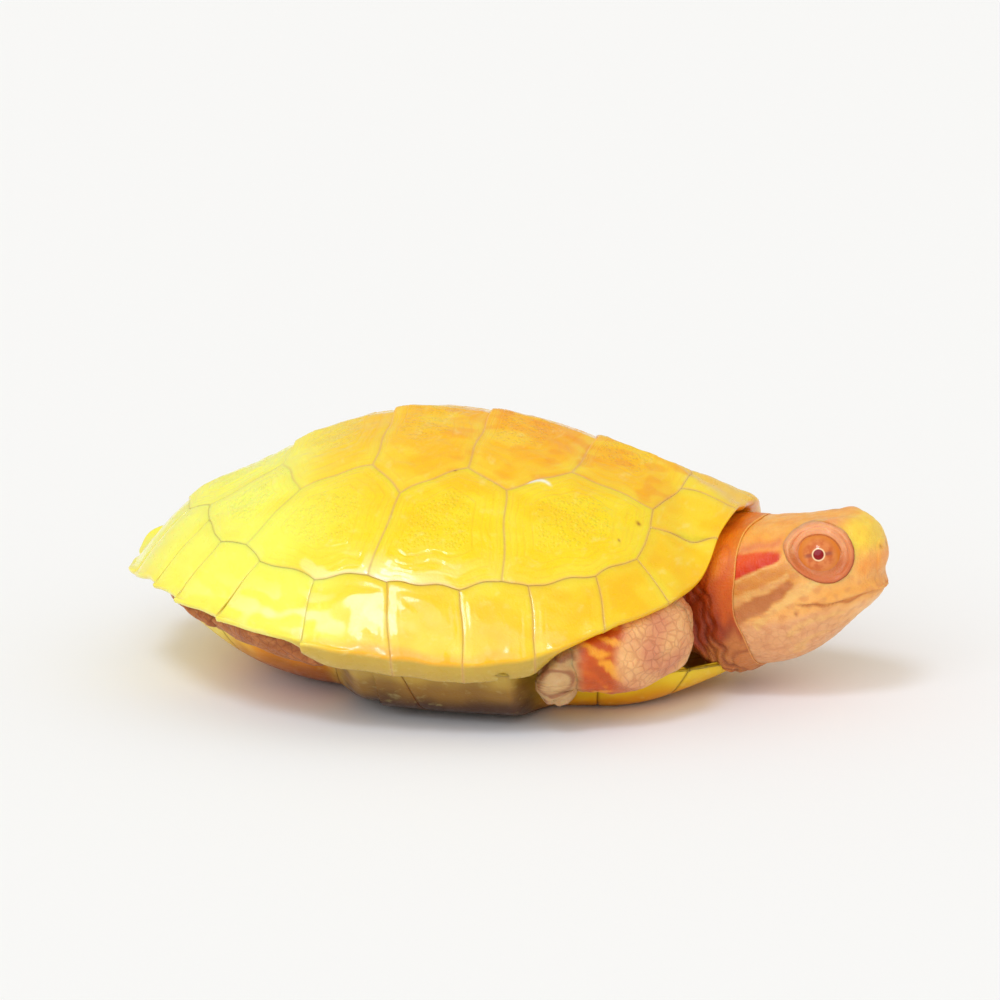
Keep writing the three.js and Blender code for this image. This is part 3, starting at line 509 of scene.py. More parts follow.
def wavy(plan: Array) -> Array:
    """Bends the plan a little, by two crossed sine waves that are alike on both sides."""
    x, y = plan[..., 0], np.abs(plan[..., 1])
    side = np.sign(plan[..., 1]) * ramp(y, 0, 2)
    bent = np.stack([np.sin(1.25 * y + 0.5 * x), side * np.sin(1.4 * x - 0.7 * y + 1.0)], -1)
    return plan + 0.1 * bent


def edge_distance(plan: Array, outline: Array) -> Array:
    """Distance in plan from each point to the nearest side of a closed outline."""
    nearest = np.full(plan.shape[:-1], 1e9)
    for start, end in zip(outline, np.roll(outline, -1, axis=0)):
        along = end - start
        share = np.clip(((plan - start) @ along) / (along @ along), 0, 1)
        nearest = np.minimum(
            nearest, np.linalg.norm(plan - start - share[..., None] * along, axis=-1)
        )
    return nearest


# ------------------------------------------------------------------ the carapace


class Horn(Enum):
    """The kinds of scute on the carapace."""

    KEEL = 0
    COSTAL = 1
    RIM = 2


@dataclass
class Carapace:
    """The horny scutes of the back, one closed piece each."""

    form: ShellForm
    material: bpy.types.Material
    keel_material: bpy.types.Material
    thickness: float = 1.5
    knob: float = 0.55
    knob_width: float = 2.4
    flare: float = 0.5
    last_flare: float = 0.75
    left_flare: float = 1.5
    groove_depth: float = 0.03
    groove_width: float = 0.12
    step: float = 0.17
    rings: tuple[tuple[float, float], ...] = (
        (0.56, 0.05), (0.7, 0.022), (0.81, 0.035), (0.91, 0.02)
    )

    def __post_init__(self) -> None:
        """Turns the table of amber along the keel into a curve."""
        self.amber_at = smooth_table((
            (-30, -22, -16, -10, -3, 5, 14, 20, 26), (0, 0, 0.08, 0.35, 0.7, 0.85, 0.95, 0.75, 0.6)
        ))

    def relief(self, plan: Array, share: Array, seam: Array, seed: int) -> tuple[Array, Array]:
        """Fine relief of a scute.

        A bell-shaped groove along the seams, a small step at each growth ring, and soft noise.

        Args:
            plan: points in plan.
            share: share of the way from the areola's middle to the seam.
            seam: distance to the seam.
            seed: the scute's own number.

        Returns:
            Height to add, and the areola's mask.
        """
        wander = 0.02 * waves(plan, 4.0, seed)
        rise = -self.groove_depth * bell(seam, self.groove_width) - 0.05 * bell(seam, 0.5)
        for k, (place, step) in enumerate(self.rings):
            edge = share + wander * (1 + 0.3 * k) - place
            rise += step * (1 - ramp(edge, -0.012, 0.012)) - 0.6 * step * bell(edge - 0.012, 0.012)
        inside = 1 - bell(seam, 0.9)
        solid = np.concatenate(
            [plan, 1.3 * self.form.height(plan[..., 0], plan[..., 1])[..., None]], -1
        )
        rise += 0.03 * inside * waves(solid, 2.6, seed + 50) + 0.012 * inside * waves(
            solid, 1.0, seed + 51, 16
        )
        rise += 0.003 * np.sin(94 * (share + 0.4 * wander)) * ramp(share, 0.5, 0.6)
        return rise, 1 - ramp(share + wander, 0.46, 0.56)

    def paint(self, points: Array, seam: Array, share: Array, kind: Horn, side: Side) -> Array:
        """Colour of the carapace by place: amber over the keel, yellow on the flanks, lemon behind.

        Seams are a thin pinkish line between paler borders. Whitish streaks on the lower flanks are
        partly worn growth and partly a painted highlight, and the rim over the bridge is orange
        underneath.

        Args:
            points: the surface.
            seam: distance to the seam.
            share: share of the way out to the seam, or out to the rim.
            kind: which kind of scute it is.
            side: which side it is on.

        Returns:
            Linear colours.
        """
        x, y, z = points[..., 0], np.abs(points[..., 1]), points[..., 2]
        stretched = points * np.array([1.0, 1.6, 1.6])
        clouds = np.clip(waves(stretched, 7.0, 5) * 0.7 + waves(stretched, 2.6, 6) * 0.3, -1, 1)
        lemon = ramp(
            -x + 1.5 * clouds, *{Horn.KEEL: (5, 17), Horn.COSTAL: (1, 18), Horn.RIM: (1, 11)}[kind]
        )
        if kind is Horn.KEEL:
            amber = self.amber_at(x) * (0.8 + 0.2 * bell(y, 5.0)) + 0.1 * clouds
        elif kind is Horn.COSTAL:
            amber = 0.45 * ramp(z + clouds, 19, 24) * (1 - lemon) + 0.08 * clouds * (1 - lemon)
        else:
            amber = 0.12 + 0.35 * ramp(x + clouds, 6, 16) + 0.2 * bell(x - 3, 7) + 0.1 * clouds * (
                1 - lemon
            )
        colour = mix(srgb(250, 216, 8), srgb(250, 247, 92), lemon)
        colour = mix(colour, srgb(249, 178, 10), np.clip(amber * (1 - 0.8 * lemon), 0, 1))
        colour = mix(colour, srgb(244, 152, 8), np.clip(amber - 0.75, 0, 1) * 1.4)
        colour = mix(
            colour, srgb(250, 226, 70), 0.22 * np.clip(-clouds, 0, 1) + 0.22 * bell(seam - 0.6, 0.4)
        )
        if kind is Horn.KEEL:
            dabs = ramp(waves(points * np.array([0.6, 1.0, 1.0]), 1.5, 19), 0.2, 1.3)
            colour = mix(colour, srgb(240, 140, 12), 0.35 * dabs * ramp(x, -4, 6))
        growth = np.sin(94 * share + 0.8 * clouds) * ramp(share, 0.5, 0.6) * (kind is not Horn.RIM)
        colour = mix(colour, srgb(242, 186, 36), 0.06 * np.clip(growth, 0, 1) * (1 - lemon))
        if kind is not Horn.RIM:
            rings = sum(bell(share + 0.012 * clouds - place, 0.008) for place, _ in self.rings)
            colour = mix(
                colour, srgb(242, 170, 40), 0.22 * np.clip(rings, 0, 1) * (1 - 0.7 * lemon)
            )
        # Whitish patches on the lower flanks and rim: partly worn growth, partly a painted
        # highlight where the light would catch the shell.
        wear_and_sheen = waves(np.stack([10 * share, 0.4 * x, 0.3 * y], -1), 1.9, 17) + 0.5 * waves(
            points, 2.4, 18
        )
        if kind is Horn.RIM:
            low = bell(z - 11.4, 1.8) * bell(x + 10, 8.5)
        else:
            low = ramp(share, 0.58, 0.75) * (1 - ramp(z, 14.5, 18)) * bell(x + 3, 9)
        colour = mix(
            colour, srgb(255, 252, 190),
            0.62 * low * ramp(wear_and_sheen, -0.3, 0.9) * (kind is not Horn.KEEL),
        )
        if kind is Horn.RIM:
            beyond = ramp(share + 0.03 * clouds, 0.84, 0.97) * (0.15 + 0.8 * bell(x - 1.5, 8.5))
            colour = mix(colour, srgb(250, 178, 36), beyond)
            under = ramp(share, 0.99, 1.05) * ramp(x, -12, -7) * (1 - ramp(x, 14, 18))
            colour = mix(colour, srgb(200, 166, 64), 0.95 * under)
        line = 0.55 * bell(seam, 0.12) * (1 - 0.6 * lemon)
        colour = mix(colour, srgb(248, 178, 110), line)
        return self.blemishes(points, colour, side)

    def blemishes(self, points: Array, colour: Array, side: Side) -> Array:
        """Adds a few dark specks, and on the right a small chip with a white peel round it."""
        plan = points[..., :2]
        away = lambda x, y: np.linalg.norm(plan - np.array([x, y]), axis=-1)
        if side is Side.RIGHT:
            for x, y, size in ((3.9, -10.6, 0.18), (21.9, -10.3, 0.22), (20.4, -13.2, 0.12)):
                colour = mix(colour, srgb(150, 66, 20), 0.85 * bell(away(x, y), size))
            bend = plan[..., 1] + 9.85 + 0.35 * np.sin(1.9 * (plan[..., 0] - 9.9))
            peel = bell(bend, 0.2) * ramp(plan[..., 0], 9.4, 9.9) * (
                1 - ramp(plan[..., 0], 12.8, 13.5)
            )
            colour = mix(colour, srgb(255, 246, 226), 0.95 * peel)
            colour = mix(colour, srgb(140, 40, 14), 0.95 * bell(away(10.6, -9.75), 0.24))
        return colour

    def scute(
        self, outline: Array, knob: tuple[float, float] | None, setback: float, seed: int,
        side: Side,
    ) -> Surface:
        """One many-sided scute.

        Rings run from the areola's middle to the seam, then down the wall and back under the scute.

        Args:
            outline: its corners in plan.
            knob: front and rear ends of the keel's rise on it, if it has one.
            setback: how far behind the middle the areola lies.
            seed: the scute's own number.
            side: which side it will be on.

        Returns:
            The surface, not yet placed.
        """
        sides = [
            start + (end - start) * (np.arange(n) / n)[:, None]
            for start, end in zip(outline, np.roll(outline, -1, axis=0))
            for n in [max(2, round(float(np.linalg.norm(end - start)) / self.step))]
        ]
        border = np.concatenate(sides)
        centre = border.mean(axis=0) - np.array([setback, 0])
        shares = np.concatenate(
            [np.linspace(0.02, 0.92, 58), np.linspace(0.92, 0.9985, 13)[1:], [1]]
        )
        plan = centre + (border - centre)[None] * shares[:, None, None]
        seam = edge_distance(plan, outline)
        share = np.broadcast_to(shares[:, None], seam.shape)
        rise, areola = self.relief(plan, share, seam, seed)
        bent = wavy(plan)

        def top(points: Array) -> Array:
            """Height of the dome in plan, with the rise of the keel on top."""
            height = self.form.height(points[..., 0], points[..., 1])
            if knob:
                along = np.clip((knob[0] - points[..., 0]) / (knob[0] - knob[1]), 0, 1)
                height = height + self.knob * along**2 * bell(points[..., 1], self.knob_width)
            return height

        upper = np.concatenate([bent, (top(bent) + rise)[..., None]], -1)
        wall_z = upper[-1, :, 2][None] - np.array([0.25, 0.7, 1.1])[:, None]
        wall = np.concatenate(
            [np.broadcast_to(bent[-1], (3, len(border), 2)), wall_z[..., None]], -1
        )
        under_rings = [len(shares) - 7, 40, 15, 0]
        under_plan = bent[under_rings]
        under = np.concatenate([under_plan, (top(under_plan) - self.thickness)[..., None]], -1)
        points = np.concatenate([upper, wall, under])
        spare = len(points) - len(upper)
        pad = lambda value, fill: np.concatenate([value, np.full((spare, len(border)), fill)])
        surface = Surface("scute")
        seam, share, areola = pad(seam, 0.0), pad(share, 1.0), pad(areola, 0.0)
        seen = points * np.array([1, side.value, 1])
        kind = Horn.KEEL if knob else Horn.COSTAL
        values = {"paint": self.paint(seen, seam, share, kind, side), "areola": areola}
        surface.grid(points, values, first_cap=True, last_cap=True)
        return surface

    def marginal(
        self, inner: Array, start: float, end: float, flare: Curve, seed: int, side: Side
    ) -> Surface:
        """One scute of the rim, between two angles in degrees.

        Closed sections follow each other along the rim. Each runs from the inner seam to the rim,
        round it, back underneath and up the inner wall, and is then smoothed as a ring.

        Args:
            inner: the seam's corners in plan.
            start: angle of its front end.
            end: angle of its rear end.
            flare: how far it stands out, over the share of the way along it.
            seed: the scute's own number.
            side: which side it will be on.

        Returns:
            The surface, not yet placed.
        """
        stations = np.concatenate([[0, 0.015], np.linspace(0.04, 0.96, 44), [0.985, 1]])
        lengths = np.concatenate([[0], np.cumsum(np.linalg.norm(np.diff(inner, axis=0), axis=1))])
        seam_line = np.stack(
            [np.interp(stations * lengths[-1], lengths, inner[:, k]) for k in (0, 1)], -1
        )
        degrees = start + (end - start) * stations
        rim = self.form.rim_point(np.radians(degrees) * side.value) * np.array([1, side.value, 1])
        foot = np.stack([self.form.spine_share * rim[:, 0], 0 * stations], -1)
        inward = unit(foot - rim[:, :2])
        out = flare(stations)
        rim[:, :2] -= inward * out[:, None]
        rim[:, 2] -= 0.25 * out
        across = np.concatenate([np.linspace(0, 0.9, 30), np.linspace(0.9, 1, 8)[1:]])
        plan = seam_line[:, None] + (rim[:, None, :2] - seam_line[:, None]) * across[None, :, None]
        bent = wavy(plan)
        z = self.form.height(bent[..., 0], bent[..., 1])
        z = z + (rim[:, 2] - z[:, -1])[:, None] * across[None] ** 6
        length = np.linalg.norm(rim[-1] - rim[0])
        ends = np.minimum(stations, 1 - stations)[:, None] * length
        seam = np.minimum(ends, np.linalg.norm(plan - seam_line[:, None], axis=-1))
        share = np.maximum(np.abs(2 * stations - 1)[:, None], 1 - across[None]) * np.ones_like(seam)
        z = z - self.groove_depth * bell(seam, self.groove_width) - 0.05 * bell(seam, 0.5)
        inside = 1 - bell(seam, 0.8)
        lengthwise = np.stack(
            [0.35 * stations[:, None] * length + 0 * z, 8 * across[None] + 0 * z], -1
        )
        z = z + inside * (
            0.03 * waves(lengthwise, 2.6, seed) + 0.016 * waves(lengthwise, 1.1, seed + 1, 16)
        )
        z = z - 0.025 * bell(share - 0.84, 0.02) - 0.02 * bell(share - 0.66, 0.02)
        upper = np.concatenate([bent, z[..., None]], -1)
        bridge = ramp(np.abs(degrees), 56, 64) * (1 - ramp(np.abs(degrees), 102, 111))
        free = np.array([(0.1, -0.3), (0.4, -0.62), (1.2, -0.8), (2.9, -0.45)])
        grown = np.array([(0.1, -0.5), (0.4, -1.3), (1.3, -2.4), (2.9, -1.5)])
        keys = free[None] + (grown - free)[None] * bridge[:, None, None]
        below = upper[:, -1][:, None] + np.concatenate(
            [inward[:, None] * keys[..., :1], keys[..., 1:]], -1
        )
        last = upper[:, 0] - np.array([0, 0, self.thickness])
        spine = np.concatenate([upper[:, -1:], below, last[:, None]], axis=1)
        places = np.array([0, 0.3, 0.7, 1.5, 3.2, 4.6])
        wanted = np.linspace(0, 4.6, 34)[1:]
        i = np.clip(np.searchsorted(places, wanted, side="right") - 1, 0, len(places) - 2)
        s = ((wanted - places[i]) / (places[i + 1] - places[i]))[None, :, None]
        lower = spine[:, i] * (1 - s) + spine[:, i + 1] * s
        wall = last[:, None] + np.linspace(0, 1, 5)[1:-1][None, :, None] * (
            upper[:, :1] - last[:, None]
        )
        plain = np.concatenate([upper, lower, wall], axis=1)
        ring = plain
        for _ in range(3):
            ring = 0.5 * ring + 0.25 * np.roll(ring, 1, axis=1) + 0.25 * np.roll(ring, -1, axis=1)
        kept = 1 - ramp(np.arange(plain.shape[1]), 4, 12)[None, :, None]
        ring = plain * kept + ring * (1 - kept)
        spare = ring.shape[1] - seam.shape[1]
        under_seam = np.broadcast_to(ends, (len(stations), spare))
        seam = np.concatenate([seam, under_seam], axis=1)
        beneath = np.broadcast_to(np.linspace(1.02, 2, spare), (len(stations), spare))
        outwards = np.concatenate([np.broadcast_to(across, z.shape), beneath], axis=1)
        surface = Surface("marginal")
        seen = ring * np.array([1, side.value, 1])
        values = {"paint": self.paint(seen, seam, outwards, Horn.RIM, side), "areola": 0 * seam}
        surface.grid(ring, values, first_cap=True, last_cap=True)
        return surface

    def place(self, surface: Surface, node: str, side: Side, keel: bool) -> None:
        """Mirrors a scute to its side, names it after its node and puts it in the scene."""
        surface.name = f"shell_{node}"
        if side is Side.RIGHT:
            surface.mirror()
        material = self.keel_material if keel else self.material
        surface.build(material, "keel_horn" if keel else "shell_horn", [node])

    def build(self) -> None:
        """Makes every scute of the carapace."""
        for i, names in enumerate(VERTEBRALS):
            half = plan_of(names)
            other = half[1:-1][::-1] * np.array([1, -1])
            knob = (half[0, 0], half[-1, 0])
            surface = self.scute(np.concatenate([half, other]), knob, 1.2, 10 + i, Side.LEFT)
            self.place(surface, f"vertebral_scute_{i + 1}", Side.LEFT, True)
        for side in Side:
            name = side.name.lower()
            for i, names in enumerate(COSTALS):
                seed = 60 + i + 40 * side.value
                surface = self.scute(plan_of(names), None, (0.2, 1.2, 0.8, 0.4)[i], seed, side)
                self.place(surface, f"costal_scute_{name}_{i + 1}", side, False)
            for i, names in enumerate(MARGINAL_INNER):
                angles = MARGINAL_ANGLE[i], MARGINAL_ANGLE[i + 1]
                seed = 200 + i + 40 * side.value
                surface = self.marginal(plan_of(names), *angles, self.flare_of(i, side), seed, side)
                self.place(surface, f"marginal_scute_{name}_{i + 1}", side, False)
        corner = np.array(CORNER["nuchal_side"])
        inner = np.array([corner * (1, -1), CORNER["nuchal_mid"], corner])
        half = MARGINAL_ANGLE[0]
        self.place(
            self.marginal(inner, -half, half, self.flare_of(0, Side.LEFT), 99, Side.LEFT),
            "nuchal_scute", Side.LEFT, False,
        )

    def flare_of(self, index: int, side: Side) -> Curve:
        """How far a marginal stands out: more at its hind corner, or by the last one's notch."""
        share = self.left_flare if side is Side.LEFT and index > 8 else 1.0
        if index < 6:
            return lambda s: 0 * s
        if index == len(MARGINAL_INNER) - 1:
            return lambda s: share * self.last_flare * np.sin(math.pi * s**0.8)
        return lambda s: share * self.flare * s * s


def srgb(red: float, green: float, blue: float) -> Array:
    """Linear colour of an 8-bit display colour, by the usual 2.4 power curve."""
    value = np.array([red, green, blue]) / 255
    return np.where(value <= 0.04045, value / 12.92, ((value + 0.055) / 1.055) ** 2.4)


# ------------------------------------------------------------------ the plastron


@dataclass
class Plastron:
    """The plates of the belly, each a left and right pair in one closed piece."""

    form: ShellForm
    material: bpy.types.Material
    gap: float = 0.05
    seams: tuple[tuple[str, float, float], ...] = (
        ("gular", 21.5, 26.8), ("humeral", 17.0, 18.5), ("pectoral", 6.0, 0.5),
        ("abdominal", -8.0, -7.0), ("femoral", -15.5, -19.5), ("anal", -24.8, -26.0),
    )  # fmt: skip
    start: tuple[float, float] = (30.6, 30.1)
    roll: float = 1.0

    def paint(self, points: Array, seam: Array) -> Array:
        """Colour of the plastron: amber lobes, olive at the bridge, lemon behind; darker and
        browner towards the floor, partly the plates' own colour and mostly painted shade, with a
        painted shadow along the bottom.
        """
        x, z = points[..., 0], points[..., 2]
        tone = np.clip(waves(points, 5.0, 7), -1, 1)
        # Each plate grows darker and browner towards the floor: partly its own colour, mostly
        # painted shade near the contact.
        amber = mix(srgb(250, 172, 10), srgb(255, 216, 44), ramp(z + 0.4 * tone, 0.4, 3.4))
        bridge = mix(srgb(78, 42, 8), srgb(146, 104, 32), ramp(z + 0.4 * tone, 2.0, 4.4))
        bridge = mix(bridge, srgb(190, 154, 58), ramp(z + 0.3 * tone, 4.4, 6.2))
        thigh_lobe = mix(srgb(170, 88, 0), srgb(236, 150, 16), ramp(z + 0.4 * tone, 2.0, 5.6))
        rear = mix(srgb(226, 150, 14), srgb(255, 226, 80), ramp(z + 0.4 * tone, 2.5, 6.0))
        colour = mix(amber, bridge, ramp(x, -9, -5) * (1 - ramp(x, 12, 15)))
        colour = mix(colour, thigh_lobe, ramp(-x, 6, 9))
        colour = mix(colour, rear, ramp(-x + 0.5 * tone, 15.5, 19))
        # Painted shadow: dark brown along the bottom edge where the plates meet the floor.
        colour = mix(colour, srgb(132, 70, 14), 0.4 * (1 - ramp(z, 0.1, 1.2)))
        colour = mix(colour, srgb(120, 62, 20), 0.5 * bell(seam, 0.1))
        return colour * (1 + 0.06 * tone[..., None])

    def plate(self, name: str, front: tuple[float, float], rear: tuple[float, float]) -> None:
        """One pair of plates between two seams.

        Closed cross sections follow each other from the rear seam to the front one. The thickness
        falls to nothing at the side edges as the root of 1 − |aside|^30, which rounds them.

        Args:
            name: the plate's name.
            front: the front seam, on the midline and on the edge.
            rear: the rear seam.
        """
        length = front[0] - rear[0]
        rows = np.concatenate(
            [[0, 0.01], np.linspace(0.03, 0.97, max(14, round(length / 0.22))), [0.99, 1]]
        )
        t = np.linspace(-1, 1, 170)
        aside = np.sign(t) * (1 - (1 - np.abs(t)) ** 1.7)
        share = np.abs(aside) ** 1.5
        first = front[0] + (front[1] - front[0]) * share - self.gap / 2
        last = rear[0] + (rear[1] - rear[0]) * share + self.gap / 2
        x = last[None] + (first - last)[None] * rows[:, None]
        y = aside[None] * self.form.plastron_half_width(x)
        under = self.form.plastron_height(x, y)
        out = np.abs(aside)[None] * np.ones_like(x)
        rounding = np.sqrt(np.maximum(0, 1 - out**30))
        lip = self.roll * bell(out - 0.955, 0.045) * ramp(x, 15.6, 17.4) * (1 - ramp(x, 25, 27))
        thickness = (self.form.plate_thickness * (1 - 0.35 * out**4) + lip) * rounding
        seam = np.minimum(rows, 1 - rows)[:, None] * (first - last)[None]
        middle = np.abs(y)
        ends = np.minimum(seam, middle)
        groove = 0.1 * bell(seam, 0.16) + 0.06 * bell(middle, 0.16)
        swell = 0.25 * (1 - rounding) * self.form.plate_thickness
        lower = np.stack([x, y, under + np.maximum(groove, swell)], -1)
        upper = np.stack([x, y, under + thickness - groove], -1)
        ring = np.concatenate([upper, lower[:, ::-1]], axis=1)
        surface = Surface(f"shell_plastron_{name}")
        both = lambda value: np.concatenate([value, value[:, ::-1]], axis=1)
        values = {"paint": self.paint(ring, both(ends)), "areola": 0 * both(out)}
        surface.grid(ring, values, first_cap=True, last_cap=True)
        surface.build(self.material, "plastron_horn", [f"plastron_{name}"])

    def build(self) -> None:
        """Makes the six pairs of plates."""
        front = self.start
        for name, mid, edge in self.seams:
            self.plate(name, front, (mid, edge))
            front = (mid, edge)


# ------------------------------------------------------------------ the skin


def oval(centre: Array, heading: Array, half_width: Array, top: Array, bottom: Array, angle: Array,
         power: float) -> Array:
    """Rings of a rounded section square to a heading.

    Each ring is a superellipse: both the cosine and the sine of the angle are raised to 2 / power,
    and the upper half is scaled by `top`, the lower by `bottom`.

    Args:
        centre: rows × 3.
        heading: rows × 3.
        half_width: rows.
        top: rows, above the centre.
        bottom: rows, below it, negative.
        angle: columns, from the animal's left over the top.
        power: the superellipse's power.

    Returns:
        rows × columns × 3.
    """
    forward = unit(heading)
    left = unit(np.cross(np.array([0, 0, 1.0]), forward))
    up = np.cross(forward, left)
    soften = lambda value: np.sign(value) * np.abs(value) ** (2 / power)
    aside = soften(np.cos(angle))[None] * half_width[:, None]
    rise = soften(np.sin(angle))[None]
    height = np.where(rise > 0, rise * top[:, None], -rise * bottom[:, None])
    return centre[:, None] + left[:, None] * aside[..., None] + up[:, None] * height[..., None]


@dataclass
class HeadForm:
    """The head's sections along its own axis, in its own frame of forward, left and up."""

    base: tuple[float, float, float] = (29.5, -0.5, 11.2)
    yaw: float = -14.0
    pitch: float = 14.0
    along: tuple[float, ...] = (-3, 0, 3, 6, 9, 12, 14.3, 15.6, 16.3, 16.6)
    top: tuple[float, ...] = (4.6, 4.9, 5.0, 4.95, 4.7, 4.6, 4.4, 3.6, 2.55, 1.4)
    bottom: tuple[float, ...] = (-8, -8.7, -9.2, -9, -8, -6.2, -4.8, -4.0, -3.4, -2.2)
    half_width: tuple[float, ...] = (7, 7.3, 7.3, 7.1, 6.5, 5.4, 4.2, 3.2, 2.4, 1.5)
    fold: Table = ((0, 20, 52, 80, 101, 118, 150, 180), (4.8, 4.4, 4.1, 3.7, 2.9, 3.1, 2.6, 2.3))
    mouth: Table = (
        (8.6, 9.2, 11, 12.5, 14.2, 15.6, 17), (-2.8, -2.9, -3.35, -3.6, -3.4, -3.4, -3.4)
    )
    eye: tuple[float, float, float] = (12.1, 5.2, 1.65)
    gaze: tuple[float, float, float] = (0.33, 0.9, 0.22)
    eye_radius: float = 2.75
    eye_height: float = 0.1
    opening: Table = (
        (0, 45, 90, 135, 165, 200, 235, 270, 315, 360),
        (2.1, 1.95, 1.9, 2.1, 2.05, 1.75, 1.55, 1.55, 1.85, 2.1),
    )
    ring: Table = (
        (0, 22, 53, 87, 117, 140, 157, 173, 198, 237, 272, 296, 324, 360),
        (3.56, 3.47, 3.36, 3.5, 3.55, 3.62, 3.66, 3.3, 2.86, 2.58, 2.9, 3.26, 3.5, 3.56),
    )

    def __post_init__(self) -> None:
        """Works out the frame's axes and turns the tables into curves."""
        yaw, pitch = math.radians(self.yaw), math.radians(self.pitch)
        self.forward = np.array(
            [math.cos(pitch) * math.cos(yaw), math.cos(pitch) * math.sin(yaw), math.sin(pitch)]
        )
        self.left = unit(np.cross(np.array([0, 0, 1.0]), self.forward))
        self.up = np.cross(self.forward, self.left)
        self.top_at = smooth_table((self.along, self.top))
        self.bottom_at = smooth_table((self.along, self.bottom))
        self.width_at = smooth_table((self.along, self.half_width))
        self.fold_at = smooth_table(self.fold)
        self.mouth_at = smooth_table(self.mouth)
        self.opening_at = smooth_table(self.opening)
        self.ring_at = smooth_table(self.ring)

    def place(self, local: Array) -> Array:
        """Points of the head's frame in the shared frame."""
        axes = np.stack([self.forward, self.left, self.up])
        return np.array(self.base) + local @ axes

    def section(self, along: Array, angle: Array, grow: Array) -> Array:
        """Points of the head's skin in its own frame.

        Args:
            along: place along the axis, any shape.
            angle: angle from the left over the top, same shape.
            grow: how far outside the head, same shape.

        Returns:
            Points, in the last axis.
        """
        top, bottom = self.top_at(along), self.bottom_at(along)
        middle = (top + bottom) / 2 + 0.1 * (top - bottom)
        soften = lambda value: np.sign(value) * np.abs(value) ** (2 / 2.3)
        aside = soften(np.cos(angle)) * (self.width_at(along) + grow)
        rise = soften(np.sin(angle))
        height = np.where(rise > 0, rise * (top - middle + grow), rise * (middle - bottom + grow))
        return np.stack([along, aside, middle + height], -1)

    def eye_axes(self, side: Side) -> tuple[Array, Array, Array, Array]:
        """Middle of an eye's ring, and its axes: along, up and outwards, in the head's frame."""
        mirror = np.array([1, side.value, 1])
        outward = unit(np.array(self.gaze) * mirror)
        forward = unit(np.array([1.0, 0, 0]) - outward[0] * outward)
        up = np.cross(outward, forward) * side.value
        up = up * np.sign(up[2])
        return np.array(self.eye) * mirror, forward, up, outward


